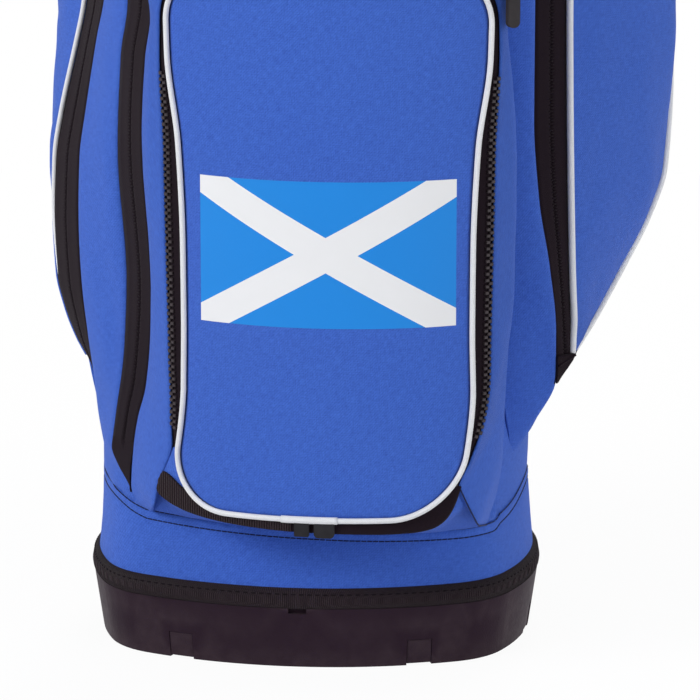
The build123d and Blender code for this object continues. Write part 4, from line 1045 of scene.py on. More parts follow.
# edges of the access zip's upright leg, and the pocket's right-hand crest and recess
legLeft = rail((80, -90, -74), (94, -95.8, -71), (104, -102.4, -66.5), (114, -106.6, -64),
               (131, -104.2, -68), (171, -97.9, -75), (215, -95.6, -78.5), (280, -99.4, -80),
               (334, -97, -81), (364, -92.8, -82), (408, -98.6, -82.7), (432, -98.6, -82.7),
               (447, -106.5, -58))
legRight = rail((80, -88, -75), (92, -95.2, -72), (118, -92.6, -78), (136, -89.2, -84),
                (156, -83.6, -90), (210, -78.3, -99), (296, -82.5, -104), (338, -80, -105),
                (368, -74.9, -106.5), (408, -86.3, -105.5))
legOut = Vector((-0.75, -0.66, 0))
crestRight = rail((80, 102, -66), (100, 107.5, -77), (124, 111.2, -87), (149, 112.9, -94),
                  (182, 114.8, -100), (216, 118.2, -107), (289, 118, -109), (325, 116.2, -110),
                  (361, 112.5, -112), (400, 119, -113.5), (436, 121.5, -114.3))
recessRight = rail((80, 100, -63), (124, 107, -65), (182, 109.5, -68), (250, 112.5, -70),
                   (361, 108, -70), (400, 118, -70), (436, 121.5, -70))


def panelLean(height):
    # the panel's foot sits a little to the left, as it is sewn
    return -panel["lean"] * max(0.0, (panel["leanFrom"] - height) / panel["leanRun"])**1.5


def onFront(x, height, depth=0.0):
    # the pocket's round front, with its lower corners falling back
    away = max(-ball["reach"], min(ball["reach"], x - ball["x"]))
    fore = math.sqrt(ball["radius"]**2 - away**2)
    slack = ball["cornerSlack"] * clamp((ball["slackFrom"] - height) / ball["slackRun"])
    slack *= (max(0.0, abs(away) - ball["slackAt"]) / ball["slackWide"])**2
    out = Vector((away, -fore, 0)) / ball["radius"]
    return Vector((x, ball["centreY"] - fore + slack, height)) - out * depth


def panelEdge():
    # right half of the panel's outline from the foot's middle to the head's, with its way out
    foot, head, steps = panel["foot"], panel["head"], panel["flatSteps"]
    footR, headR = panel["footRadius"], panel["headRadius"]
    footX, headX = panel["footHalf"] - footR, panel["headHalf"] - headR

    def bend(x, height, radius, turns):
        return [Vector((x + radius * c, 0, height + radius * s)) for c, s in map(around, turns)]

    line = [Vector((footX * i / steps, 0, foot)) for i in range(steps)]
    line += bend(footX, foot + footR, footR, range(-90, 0, 5))
    sideFrom = len(line)
    line += [Vector((panelHalf(z), 0, z)) for z in spread(foot + footR, head - headR, 4)]
    sideTo = len(line) - 1
    line += bend(headX, head - headR, headR, range(5, 95, 5))
    line += [Vector((headX * (1 - i / steps), 0, head)) for i in range(1, steps + 1)]
    ways = [tangentAt(line, i) for i in range(len(line))]
    return line, [Vector((way.z, 0, -way.x)).normalized() for way in ways], sideFrom, sideTo


edgeLine, edgeOuts, edgeSideFrom, edgeSideTo = panelEdge()


def ringPoint(i, side, reach, depth=0.0):
    # point off the panel's outline, on its right side (1) or its left (-1)
    place = edgeLine[i]
    away = reach(place.z) if callable(reach) else reach
    place = place + edgeOuts[i] * away
    return onFront(ball["x"] + panelLean(place.z) + side * place.x, place.z, depth)


def ringLoop(reach, depth=0.0):
    last = len(edgeLine) - 1
    right = [ringPoint(i, 1, reach, depth) for i in range(last + 1)]
    left = [ringPoint(i, -1, reach, depth) for i in range(last - 1, 0, -1)]
    return right + left


def frontOut(point):
    return Vector((point.x - ball["x"], point.y - ball["centreY"], 0)).normalized()


def arcMap(point):
    # the print's place on the panel: across its arc from the middle, and height
    across = ball["radius"] * math.asin((point.x - ball["x"]) / ball["radius"])
    return across * mm, point.z * mm


def buildFrontPanel():
    # rows run from where the outline leaves its straight foot to where it meets its straight head
    columns = panel["columns"]
    rows = []
    for place in edgeLine[panel["flatSteps"]:-panel["flatSteps"]]:
        row = []
        for k in range(columns + 1):
            share = signedPower(-1 + 2 * k / columns, panel["bunch"])
            x = ball["x"] + panelLean(place.z) + share * place.x
            edge = max(0, min((1 - abs(share)) * place.x, place.z - panel["foot"],
                              panel["head"] - place.z))
            waves = panel["waves"] * noise.noise(Vector((x * 0.02, place.z * 0.014, 3.0)))
            depth = panel["edgeSink"] * math.exp(-edge / panel["edgeRun"])
            row.append(onFront(x, place.z, depth - waves * min(1, edge / panel["waveRun"])))
        rows.append(row)
    addSheet("frontPanel", rows, looks["panelCloth"], uvOf=arcMap, body="front_flap",
             stands=["front_panel"], thick=panel["thick"])


def zipChain(height):
    # the teeth keep close under the pocket's blue edge
    return zipReach(height) - panelZip["underEdge"]


def buildPanelTrim():
    addTube("frontPanelPiping", ringLoop(piping["at"], -piping["proud"]), piping["radius"],
            looks["piping"], "front_flap", ["front_panel_piping"], closed=True, sides=12,
            centre=Vector((ball["x"], ball["centreY"], 245)))
    foot = [onFront(x, panel["foot"] - piping["at"], -piping["proud"]) for x in spread(-3, 27, 2)]
    addTube("pipingJoin", foot, piping["radius"] + piping["join"], looks["piping"], "front_flap",
            flat=0.9, sides=12)
    sink, gap = panelZip["sink"], panelZip["gap"]
    for name, body, node, inner, outer in (
            ("panelZipPanelTape", "front_flap", "panel_zip_panel_tape",
             (panelZip["tapeFrom"], sink), (lambda z: zipChain(z) - gap, sink)),
            ("panelZipBagTape", "bag", "panel_zip_bag_tape",
             (lambda z: zipChain(z) + gap, sink + panelZip["bagSink"]),
             (lambda z: zipReach(z) + panelZip["lap"], sink + panelZip["lapSink"]))):
        rails = [ringLoop(*inner), ringLoop(*outer)]
        addCloth(name, [line + line[:1] for line in rails], looks["zipTape"], body, [node],
                 thick=panelZip["thick"], cols=3, keepOut=False)
    steps = [i for i, place in enumerate(edgeLine)
             if panelZip["teethLow"] < place.z < panelZip["teethHigh"]]
    for sideName, side in (("Left", -1), ("Right", 1)):
        for owner, reach, body, first in (("Panel", -panelZip["toothAway"], "front_flap", 0.25),
                                          ("Bag", panelZip["toothAway"], "bag", 0.75)):
            line = [ringPoint(i, side, lambda z: zipChain(z) + reach, sink - panelZip["toothUp"])
                    for i in steps]
            places = marksAlong(line, [frontOut(p) for p in line], panelZip["toothPitch"], first)
            addBeads("zipTeeth" + owner + sideName, places, moulded(*panelZip["tooth"]),
                     looks["zipTeeth"], body, smooth=False)


footEdge = ((-64, 131), (-69.8, 119), (-74.8, 107.5), (-73.6, 101.8), (-65.4, 97.8), (-54, 94.9),
            (-29, 93.2), (1.6, 91.8), (33.6, 91.2), (51.5, 90.8), (68.7, 91.1), (78.5, 92.6),
            (84.7, 97), (88.6, 104.4), (91.5, 114))
footBinding = {"ribPitch": 1.35, "ribHeight": 0.45, "proud": 0.3, "thick": 0.9}
gusset = {"thick": 1.6, "soft": 0.9, "footSeam": 77.0, "seamRadius": 0.42, "crest": 3.2,
          "crestFrom": 80, "crestRun": 60, "count": 90}


def addGusset(name, rails, stands=(), **shape):
    addCloth(name, rails, looks["blueCloth"], stands=stands, thick=gusset["thick"], **shape)


def footRail(depth, start, end, count):
    line = eased(resample([Vector((x, 0, z)) for x, z in footEdge], 90), 3)
    return [onFront(p.x, p.z, depth) for p in resample(line[start:end], count)]


def ringFoot(reach, depth, leftTo, rightTo, count):
    # along the ring's foot from a place on the left to one on the right
    left = [ringPoint(i, -1, reach, depth) for i in range(leftTo, 0, -1)]
    right = [ringPoint(i, 1, reach, depth) for i in range(0, rightTo)]
    return resample(left + right, count)


def buildGusset():
    mitreLeft, mitreRight = edgeSideFrom - 1, edgeSideFrom - 6
    headTurn = edgeSideTo + 9
    count = gusset["count"]
    # left side, from the zip round the panel over the crest to the long access zip
    inner = [Vector((-82.3, -78, 79)), onFront(-78.6, 91), onFront(-75.4, 104), onFront(-69, 120)]
    inner += [ringPoint(i, -1, zipReach) for i in range(mitreLeft, headTurn)]
    inner = resample(eased(resample(inner, 180), 6), count)
    outer = resample([legRight(z) for z in spread(81, ball["runLow"], 4)], count)
    crest = []
    for a, b in zip(inner, outer):
        middle = a.lerp(b, 0.55)
        share = clamp((middle.z - gusset["crestFrom"]) / gusset["crestRun"])
        crest.append(middle + legOut * gusset["crest"] * share)
    addGusset("ballGussetLeft", [inner, crest, outer], ["ball_pocket_gusset"], cols=14, ease=90,
              soft=gusset["soft"], folds=0.7, lips=(1.5, 1.5))
    # right side, over a sharper crest and back into the recess
    inner = [Vector((100.4, -67, 75)), onFront(100.6, 90.5), onFront(95.4, 102.5)]
    mitre = [inner[0]] + [onFront(x, z, 0.5)
                          for x, z in ((100.2, 90.5), (95, 102.5), (90.6, 113.5))]
    addTube("mitreSeamRight", eased(resample(mitre, 30), 4), gusset["seamRadius"],
            looks["darkThread"], sides=6)
    inner += [ringPoint(i, 1, zipReach) for i in range(mitreRight, headTurn)]
    inner = resample(eased(resample(inner, 180), 6), count)
    heights = spread(74, ball["runLow"], 3)
    crest = resample([crestRight(z) for z in heights], count)
    back = resample([recessRight(z) for z in heights], count)
    seat = [onBody(p.y + 3, 1, p.z) for p in back]
    addGusset("ballGussetRight", [inner, crest, back, seat], cols=26, ease=14,
              soft=gusset["soft"] * 0.7, folds=0.8, lips=(1.5, 0))
    # foot, from the ring down and back to the skirt's seam
    inner = ringFoot(3.0, 1.9, mitreLeft, mitreRight + 1, count)
    middle = footRail(1.2, 0, 82, count - 10)
    middle = middle[:-1] + spreadLine(middle[-1], onFront(96.5, 104, 2.2), 11)
    seam = [ovalAt(turn, -0.4, gusset["footSeam"] + skirtLift(turn))
            for turn in spread(180 + 54, 360 - 42, 2)]
    addGusset("ballGussetFoot", [inner, middle, resample(seam, count)], cols=18, ease=10,
              soft=0.4, lips=(0, 0.8))
    # ribbed binding at the foot's left, its ribs upright, and plain tape at the right
    whole = ringFoot(2.2, 0.9, edgeSideFrom - 5, mitreRight + 3, 200)
    over = graph((-74.9, 106), (-73.4, 110.4), (-71, 114), (-60.4, 108.2), (-55, 105.4),
                 *[(p.x, p.z) for p in whole if -50 <= p.x <= 4])
    under = graph((-74.9, 104), (-74.2, 101), (-70.4, 98.8), (-65.4, 97), *footEdge[5:9])
    sides = spread(-74.8, 2, 0.3)
    shape = {"thick": footBinding["thick"], "cols": 6, "lips": (0, 0.7), "keepOut": False}
    addCloth("footBindingLeft", [[onFront(x, over(x), 0.9) for x in sides],
                                 [onFront(x, under(x), -footBinding["proud"]) for x in sides]],
             looks["binding"], uvOf=lambda p: (p.z * mm, p.x * mm),
             ribs=(footBinding["ribPitch"], footBinding["ribHeight"]), **shape)
    outer = footRail(-footBinding["proud"], 43, 90, 60)
    inner = resample([p for p in whole if p.x >= 1 and p.z < 116], 60)
    addCloth("footBindingRight", [inner, outer], looks["zipTape"], **shape)
    # head, between the ring and the access zip's level run
    left = [ringPoint(i, -1, zipReach) for i in range(headTurn - 1, len(edgeLine))]
    right = [ringPoint(i, 1, zipReach) for i in range(len(edgeLine) - 2, headTurn - 2, -1)]
    inner = resample(left + right, count)
    outer = resample(pouchPath(ball["runLow"])[16:-8], count)
    addGusset("ballGussetHead", [inner, outer], cols=6, crown=0.6, lips=(1.5, 1.5))


def pouchPath(height):
    # plan of the pocket's head from the access zip's leg to the right crest
    line = [Vector((-98.6, -82.7, 0)), Vector((-86.3, -105.5, 0))]
    line += [onFront(x, 400) for x in spread(-81.5, 121.5, 4)]
    line += [Vector((121.8, -104, 0))]
    return [Vector((p.x, p.y, height)) for p in eased(resample(line, 160), 6)]


def buildBallHead():
    buildZip("ballZipRun", pouchPath(ball["runLow"]), pouchPath(ball["runHigh"]))
    heights = spread(86, ball["runLow"] + 6, 3)
    buildZip("ballZipLeg", [legLeft(z) for z in heights], [legRight(z) for z in heights],
             stands=["ball_zip"])
    # the tape's end runs out between the two edges, and comes up level with them
    heights = spread(90, 126, 1.5)
    sunk = graph((90, -0.3), (106, -0.1), (126, 1.7))
    ends = [[leg(z) - legOut * sunk(z) for z in heights] for leg in (legLeft, legRight)]
    addCloth("ballZipEnd", ends, looks["zipTape"], thick=panelZip["thick"], cols=4, keepOut=False)
    # wall beyond the run's right end, then the sloping head back to the body
    heights = spread(402, ball["head"] - 2, 4)
    addGusset("ballHeadWall", [[Vector((121.6, -106, z)) for z in heights],
                               [Vector((121.6, -70, z)) for z in heights],
                               [onBody(-67, 1, z) for z in heights]],
              cols=12, ease=12, lips=(1, 0))
    count = gusset["count"]
    rim = resample(pouchPath(ball["runHigh"]) + [Vector((121.6, -70, ball["runHigh"]))], count)
    top = [p + Vector((0, 2.5, ball["head"] - ball["runHigh"])) for p in rim]
    seat = [ovalAt(turn, plan["seat"], ball["head"] + 8)
            for turn in spread(180 + 33, 360 - 42, 147 / 89)]
    addGusset("ballHead", [rim, top, resample(seat, count)], cols=12, ease=16, soft=0.8,
              lips=(1.3, 0))


buildFrontPanel()
buildPanelTrim()
buildGusset()
buildBallHead()
print("ball pocket made")


# garment pockets
garment = {"head": 762.0, "zipHead": 745.0, "foot": 104.0, "cordFrom": 14.0, "step": 3.5,
           "folds": 1.6, "thick": 1.8, "soft": 1.1, "sunkFoot": 2.4, "foldRadius": 0.7,
           "shoulderAt": 0.82, "frontY": -58, "frontFrom": 447}

rightPocket = {
    "side": 1, "zipFoot": 152.0, "pipe": 1.9,
    "zipFront": rail((104, 113.6, -36), (124, 124, -40), (152, 137, -45), (179, 137.4, -50),
                     (217, 133.6, -53), (254, 127.6, -54.5), (300, 124.4, -55),
                     (690, 124.4, -55), (745, 114, -57), (762, 104, -60)),
    "zipRear": rail((104, 113.6, -36), (124, 124, -38), (152, 138, -42), (167, 146.4, -38),
                    (176, 145.8, -38.5), (214, 144, -40), (325, 141.4, -40), (363, 141, -40),
                    (430, 143, -39.5), (690, 143, -39.5), (745, 122, -42), (762, 112.5, -43)),
    "rear": rail((104, 114, -34), (124, 124.2, -36), (152, 138.4, -40), (166, 147.2, -31),
                 (182, 157.8, 6), (206, 171.6, 28), (229, 183, 38), (254, 190.8, 46),
                 (300, 193, 52), (350, 192, 60), (410, 191, 66), (690, 191, 66),
                 (735, 168, 64), (762, 106, 60)),
    "shoulder": graph((150, 0), (210, 1), (254, 3), (300, 8.5), (350, 14), (410, 18), (690, 18),
                      (735, 6), (762, 0)),
    "seat": graph((104, -20), (140, 5), (175, 35), (215, 60), (258, 72), (762, 72)),
    "crown": graph((150, 0), (200, 3), (260, 7), (690, 7), (762, 0)),
    "cord": graph((150, -2.4), (174, -0.6), (186, 0.6), (762, 0.6)),
}
rightValley = graph((104, -38), (130, -50), (166, -58), (220, -62), (762, -62))

leftPocket = {
    "side": -1, "zipFoot": 150.0, "pipe": 1.35,
    "zipFront": rail((104, -115, -34), (126, -118, -37), (150, -120, -40), (172, -122, -46),
                     (204, -125.1, -48), (235, -126.4, -47.5), (272, -125.3, -47.5),
                     (297, -121.5, -49), (338, -114.4, -52), (362, -109, -56),
                     (384, -106.6, -57), (430, -112, -53), (690, -116.3, -51),
                     (745, -111, -52), (762, -108, -53)),
    "zipRear": rail((104, -115, -33), (126, -118.5, -35), (150, -121.5, -35), (165, -131.4, -27),
                    (182, -138.6, -23.5), (200, -143.2, -21.5), (232, -145, -20),
                    (266, -143.2, -20), (292, -138, -22), (333, -128.1, -24),
                    (354, -123.6, -25.5), (384, -121, -27), (430, -125.5, -28),
                    (690, -127.5, -28), (745, -119.5, -30), (762, -116, -31)),
    "rear": rail((104, -115.5, -31), (126, -119.5, -26), (141, -124, -20), (150, -127.4, -12),
                 (160, -133, 4), (179, -138.4, 20), (195, -140.4, 30), (217, -141.8, 40),
                 (245, -143.4, 44), (272, -145.6, 46), (340, -145.8, 46), (690, -144, 46),
                 (735, -134, 50), (762, -110, 58)),
    "shoulder": graph((150, 0), (260, 0.5), (762, 0.5)),
    "seat": graph((104, -15), (140, 8), (175, 35), (215, 58), (258, 66), (762, 66)),
    "crown": graph((150, 0.3), (180, 0.7), (220, 1), (240, 1.8), (275, 6), (340, 8), (690, 7.5),
                   (762, 0)),
    "cord": graph((150, -4), (215, -2.4), (260, -0.8), (300, 0.4), (330, 0.6), (762, 0.6)),
}


def addPocket(name, rails, stands=(), **shape):
    addCloth(name, rails, looks["blueCloth"], stands=stands, thick=garment["thick"], **shape)


def buildGarment(name, pocket):
    side, zipFoot, head = pocket["side"], pocket["zipFoot"], garment["head"]
    zipFront, zipRear, rear = pocket["zipFront"], pocket["zipRear"], pocket["rear"]
    node = name + "_pocket_"
    heights = spread(garment["foot"], head, garment["step"])
    zipped = [z for z in heights if zipFoot - 3 <= z <= garment["zipHead"]]
    buildZip(name + "PocketZip", [zipFront(z) for z in zipped], [zipRear(z) for z in zipped],
             stands=[node + "zip"])
    # the face swells to a shoulder before it turns back to its rear seam
    tip = [z for z in heights if z >= zipFoot + 6]
    bulge = []
    for z in tip:
        across = rear(z) - zipRear(z)
        out = Vector((side * abs(across.y), -abs(across.x), 0)).normalized()
        shoulder = zipRear(z).lerp(rear(z), garment["shoulderAt"])
        bulge.append(shoulder + out * pocket["shoulder"](z))
    addPocket(name + "PocketFace", [[zipRear(z) for z in tip], bulge, [rear(z) for z in tip]],
              [node + "face"], cols=36, ease=60, crown=pocket["crown"],
              soft=garment["soft"] * 1.4, folds=garment["folds"], lips=(1.2, 1.2))
    seat = [onBody(pocket["seat"](z), side, z) for z in heights]
    addPocket(name + "PocketRear", [[rear(z) for z in heights], seat], [node + "gussets"], cols=18,
              crown=graph((104, 0), (150, 0.4), (200, 2.5), (700, 2.5), (762, 0)),
              soft=garment["soft"], folds=garment["folds"] * 0.7, lips=(1.2, 0.6),
              sunkFoot=garment["sunkFoot"])
    # one cord runs up the front seam, over the pocket's head and down the rear seam
    foot = zipFoot + garment["cordFrom"]
    line = [zipRear(z) + Vector((side * pocket["cord"](z), 0, 0)) for z in spread(foot, head, 3)]
    line += [onBody(y, side, head + 0.5, 0.4)
             for y in spread(line[-1].y, rear(head).y, 4)[1:-1]]
    sunk = graph((foot, -1.6), (foot + 16, 0.6), (head, 0.6))
    line += [rear(z) + Vector((side * sunk(z), 0, 0)) for z in spread(head, foot, 3)]
    line = [clearOfBody(p, 0.4) for p in eased(line, 2)]
    addTube(name + "Piping", line, pocket["pipe"], looks["piping"], stands=[node + "piping"],
            sides=12)


def buildRightEnd():
    # below the cord's ends the tape is folded round the right pocket's tip
    zipFoot, zipFront, zipRear = [rightPocket[key] for key in ("zipFoot", "zipFront", "zipRear")]
    foot = zipFoot + garment["cordFrom"]
    low = spread(zipFoot - 2, foot, 2)
    out = Vector((0.8, -0.6, 0))
    rails = [[line(z) + out * proud for z in low]
             for line, proud in ((zipFront, 0.3), (zipRear, 1.0), (rightPocket["rear"], 0.5))]
    addCloth("rightZipEnd", rails, looks["zipTape"], thick=panelZip["thick"], cols=8)
    fold = spreadLine(zipFront(foot - 6) + out * 0.4, zipRear(foot - 1) + out * 0.9, 8)
    addTube("rightZipFold", fold, garment["foldRadius"], looks["zipTape"], sides=8)


def buildFrontGussets():
    heights = spread(garment["foot"], garment["head"], garment["step"])
    valley = [onBody(rightValley(z), 1, z) for z in heights]
    addPocket("rightPocketFront", [valley, [rightPocket["zipFront"](z) for z in heights]], cols=12,
              crown=graph((104, 0), (150, 0.2), (220, 1.2), (762, 1.2)), soft=garment["soft"],
              folds=garment["folds"] * 0.5, lips=(0, 1.6), sunkFoot=garment["sunkFoot"])
    heights = spread(80, garment["head"], garment["step"])
    legs = [legLeft(z) if z < garment["frontFrom"] else onBody(garment["frontY"], -1, z)
            for z in heights]
    addPocket("leftPocketFront", [[leftPocket["zipFront"](z) for z in heights], legs], cols=16,
              crown=graph((80, 0), (125, 0.2), (165, 2.4), (220, 1.6), (447, 1.2)),
              soft=garment["soft"], folds=garment["folds"] * 0.6, lips=(1.6, 1.6))


buildGarment("right", rightPocket)
buildRightEnd()
buildGarment("left", leftPocket)
buildFrontGussets()
print("garment pockets made")


# small pocket above
upper = {"x": 12.0, "centreY": 24.0, "radius": 150.0, "half": 72.0, "foot": 486.0, "head": 668.0,
         "bend": 16.0, "zipAt": 646.0, "zipHalf": 10.0, "zipEnd": 62.0, "zipSink": 2.4,
         "thick": 1.8, "waves": 0.7, "waveScale": 0.025, "faceHalf": 58.0, "faceFoot": 500.0,
         "faceHead": 622.0, "faceCorner": 24.0, "pipe": 1.8, "pipeProud": 0.9}


def onUpper(x, height, depth=0.0):
    away = x - upper["x"]
    out = Vector((away, -math.sqrt(upper["radius"]**2 - away**2), 0)) / upper["radius"]
    return Vector((upper["x"], upper["centreY"], height)) + out * (upper["radius"] - depth)


def buildUpperPocket():
    x, zipAt, zipHalf = upper["x"], upper["zipAt"], upper["zipHalf"]
    front = [Vector((-68, -84, 0))]
    front += [onUpper(at, 0) for at in spread(x - upper["half"], x + upper["half"], 3)]
    front = eased(resample(front + [Vector((90, -76, 0))], 110), 8)
    seat = [ovalAt(turn, -0.4) for turn in spread(270 - 42, 270 + 49, 91 / 109)]
    heights = spread(upper["foot"], upper["head"], 3)
    # closer rows where the cloth steps down beside the zip
    heights += [zipAt + way * away for way in (-1, 1) for away in (9.4, 10.2, 10.8, 11.6)]
    rows = []
    for z in sorted(heights):
        rise = min(z - upper["foot"], upper["head"] - z) / upper["bend"]
        share = math.sqrt(max(0.0, 1 - (1 - min(1, rise))**2))
        row = []
        for back, fore in zip(seat, front):
            place = back.lerp(fore, share) + upright * z
            waves = upper["waves"] * noise.noise(place * upper["waveScale"]) * share
            if abs(z - zipAt) < zipHalf + 0.5 and abs(place.x - x) < upper["zipEnd"] + 1.5:
                waves -= upper["zipSink"]
            out = Vector((place.x - x, place.y - upper["centreY"], 0)).normalized()
            row.append(place + out * waves)
        rows.append(row)
    addSheet("upperPocket", rows, looks["blueCloth"], stands=["upper_pocket_shell"],
             thick=upper["thick"])
    across = spread(x - upper["zipEnd"], x + upper["zipEnd"], 2)
    buildZip("upperPocketZip", [onUpper(at, zipAt - zipHalf) for at in across],
             [onUpper(at, zipAt + zipHalf) for at in across], stands=["upper_pocket_zip"])
    radius, proud = upper["faceCorner"], upper["pipeProud"]
    half = upper["faceHalf"] - radius
    high, low = upper["faceHead"] - radius, upper["faceFoot"] + radius
    loop = []
    for cx, cz, start in ((half, high, 0), (-half, high, 90), (-half, low, 180), (half, low, 270)):
        loop += [onUpper(x + cx + radius * c, cz + radius * s, -proud)
                 for c, s in map(around, range(start, start + 100, 10))]
    line = resample(loop + loop[:1], 160)
    addTube("upperPocketPiping", [onUpper(p.x, p.z, -proud) for p in line[:-1]], upper["pipe"],
            looks["piping"], stands=["upper_pocket_piping"], closed=True, sides=10,
            centre=Vector((x, upper["centreY"], 560)))


buildUpperPocket()
print("upper pocket made")


# dividers
divider = {"rowPitch": 44.0, "columnPitch": 52.0, "barLow": 840.0, "barHigh": 862.0,
           "barHalf": 4.7, "barSides": 16, "barStep": 4, "square": (0.75, 0.6), "swell": 0.05,
           "swellScale": 0.07, "wall": -4.6, "panelWall": -10.0, "panelLow": 13.0,
           "panelHigh": 834.5, "panelStep": 24, "hangRun": 120, "slack": 1.6, "inset": 0.03,
           "thick": 0.9}


def dividerLines(wall):
    # plan of the dividers: three across, then the short ones between them
    def reachY(x):
        return ovalAt(turnWhere(lambda turn: ovalAt(turn, wall).x > abs(x), 0.0, 90.0), wall).y

    pitch, column = divider["rowPitch"], divider["columnPitch"]
    lines = [((-bodyX(abs(y), 1, wall), y), (bodyX(abs(y), 1, wall), y))
             for y in (-pitch, 0, pitch)]
    for x in (-column / 2, column / 2):
        lines += [((x, -reachY(x)), (x, -pitch)), ((x, pitch), (x, reachY(x)))]
    for x in (-column, 0, column):
        lines += [((x, -pitch), (x, 0)), ((x, 0), (x, pitch))]
    return [(Vector((*a, 0)), Vector((*b, 0))) for a, b in lines]


def buildDividers():
    middle = (divider["barLow"] + divider["barHigh"]) / 2
    tall = (divider["barHigh"] - divider["barLow"]) / 2
    for k, (a, b) in enumerate(dividerLines(divider["wall"])):
        along = (b - a).normalized()
        side = along.cross(upright)
        rows = []
        for d in spread(0, (b - a).length, divider["barStep"]):
            point = a + along * d
            swell = 1 + divider["swell"] * noise.noise(point * divider["swellScale"])
            row = []
            for t in range(divider["barSides"]):
                turn = math.tau * t / divider["barSides"]
                wide = signedPower(math.cos(turn), divider["square"][0]) * divider["barHalf"]
                high = signedPower(math.sin(turn), divider["square"][1])
                row.append(point + side * wide * swell + upright * (middle + high * tall))
            rows.append(row)
        addClosed("dividerBar%d" % (k + 1), capped(rows), looks["fleece"],
                  stands=["divider_bars"] if k == 0 else ())
    for k, (a, b) in enumerate(dividerLines(divider["panelWall"])):
        side = (b - a).cross(upright).normalized()
        if k > 2:
            a, b = a.lerp(b, divider["inset"]), b.lerp(a, divider["inset"])
        rows = []
        for z in spread(divider["panelLow"], divider["panelHigh"], divider["panelStep"]):
            row = []
            for share in spread(0, 1, 0.1):
                hang = min(1, (divider["panelHigh"] - z) / divider["hangRun"])
                hang *= 1 - (2 * share - 1)**2
                wave = noise.noise(Vector((share * 3 + k, z * 0.01, k * 2.0)))
                row.append(a.lerp(b, share) + side * divider["slack"] * hang * wave + upright * z)
            rows.append(row)
        name = "dividerPanel%d" % (k + 1)
        piece = addPiece(name, gridMesh(name, rows), looks["liner"],
                         stands=["divider_panels"] if k == 0 else (), thick=divider["thick"])


buildDividers()
print("dividers made")


# shoulder strap and towel tab
strap = {"y": 101.2, "top": 722.0, "foot": 256.0, "bow": 44.0, "width": 38.0, "thick": 2.2,
         "padWidth": 62.0, "padThick": 12.0, "padFrom": -7.0, "padTo": 12.0, "padSides": 28,
         "padSquare": (0.55, 0.8), "padBinding": 2.2, "channels": (0.27, 0.73),
         "channelRun": 0.012, "ringDrop": 20.0, "anchorHeight": 46.0, "skin": 95.5, "wire": 2.0,
         "turnBack": math.degrees(6.0 / 640), "lapIn": -3.2, "lap": 3.4,
         "section": ((-0.5, -0.3), (-0.5, 0.3), (-0.47, 0.5), (-0.2, 0.5), (0.2, 0.5),
                     (0.47, 0.5), (0.5, 0.3), (0.5, -0.3), (0.47, -0.5), (0.2, -0.5),
                     (-0.2, -0.5), (-0.47, -0.5))}
strapHalf = (strap["top"] - strap["foot"]) / 2
strapRadius = (strapHalf**2 + strap["bow"]**2) / (2 * strap["bow"])
sewing = {"pitch": 3.0, "stitch": (2.2, 0.4)}
towel = {"x": -130.238, "y": -20.0, "z": 806.0, "top": 842.0, "half": 8.5, "bore": 2.0,
         "wall": 1.4, "section": ((1, -0.4), (1, 0.4), (0.9, 0.5), (-0.9, 0.5), (-1, 0.4),
                                  (-1, -0.4), (-0.9, -0.5), (0.9, -0.5))}


def strapArc(angle, away=0.0):
    c, s = around(angle)
    centre = strap["y"] + strap["bow"] - strapRadius
    middle = (strap["top"] + strap["foot"]) / 2
    return Vector((0, centre + (strapRadius + away) * c, middle + (strapRadius + away) * s))


def addBand(name, line, stands=()):
    rows = bandRows(line, strap["width"], strap["thick"], strap["section"])
    addClosed(name, capped(rows), looks["webbing"], stands=stands)


def boxStitches(name, centre, w, h):
    # sewn box with a cross in it
    corners = [centre + Vector((x * w, 0, z * h)) for x, z in ((-1, -1), (1, -1), (1, 1), (-1, 1))]
    places = []
    for a, b in ((0, 1), (1, 2), (2, 3), (3, 0), (0, 2), (1, 3)):
        line = resample([corners[a], corners[b]], 12)
        places += marksAlong(line, [Vector((0, 1, 0))] * len(line), sewing["pitch"])
    addBeads(name, places, capsule(*sewing["stitch"]), looks["blackThread"])


def wrapRound(z, turnFrom, turnTo):
    radius = strap["wire"] + 0.1 + strap["thick"] / 2
    return [Vector((0, strap["y"] + radius * c, z + radius * s))
            for c, s in map(around, spread(turnFrom, turnTo, 15))]


def buildStrap():
    ends = (("Upper", 1, strap["padTo"], strap["top"]),
            ("Lower", -1, strap["padFrom"], strap["foot"]))
    end = math.degrees(math.asin(strapHalf / strapRadius))
    turnBack = end - strap["turnBack"]
    thick = strap["thick"]
    for place, way, padEnd, wire in ends:
        line = [strapArc(a) for a in spread(padEnd - way * 0.4, way * turnBack, 0.4)]
        line += wrapRound(wire, way * 10, way * 190)
        line += [strapArc(a, strap["lapIn"])
                 for a in spread(way * turnBack, way * (turnBack - strap["lap"]), 0.5)]
        addBand("strapWeb" + place, line, ["strap_webbing"] if way > 0 else ())
    for place, way, _, _ in ends:
        boxStitches("strapSewn" + place, strapArc(way * (end - 2.4), thick / 2 + 0.1), 14, 10)
    buildPad()
    skin = strap["skin"] + thick / 2
    for place, way, _, wire in ends:
        name, bar = "strapAnchor" + place, wire + way * strap["ringDrop"]
        line = [Vector((0, skin + thick * 0.95, bar + way * z))
                for z in spread(strap["anchorHeight"], 9, 3)]
        line += wrapRound(bar, 80 * way, -180 * way)
        line += [Vector((0, skin, bar + way * z)) for z in spread(9, strap["anchorHeight"], 3)]
        addBand(name, eased(line, 1), ["strap_anchors"] if way > 0 else ())
        boxStitches(name + "Sewn", Vector((0, skin + thick * 1.5, bar + way * 30)), 14, 11)


def padShape(angle):
    # share of the pad's length, how full it is there, and half its width
    share = (angle - strap["padFrom"]) / (strap["padTo"] - strap["padFrom"])
    tuck = min(1.0, min(share, 1 - share) * 14)**0.5
    return share, tuck, strap["padWidth"] / 2 * (0.72 + 0.28 * tuck)


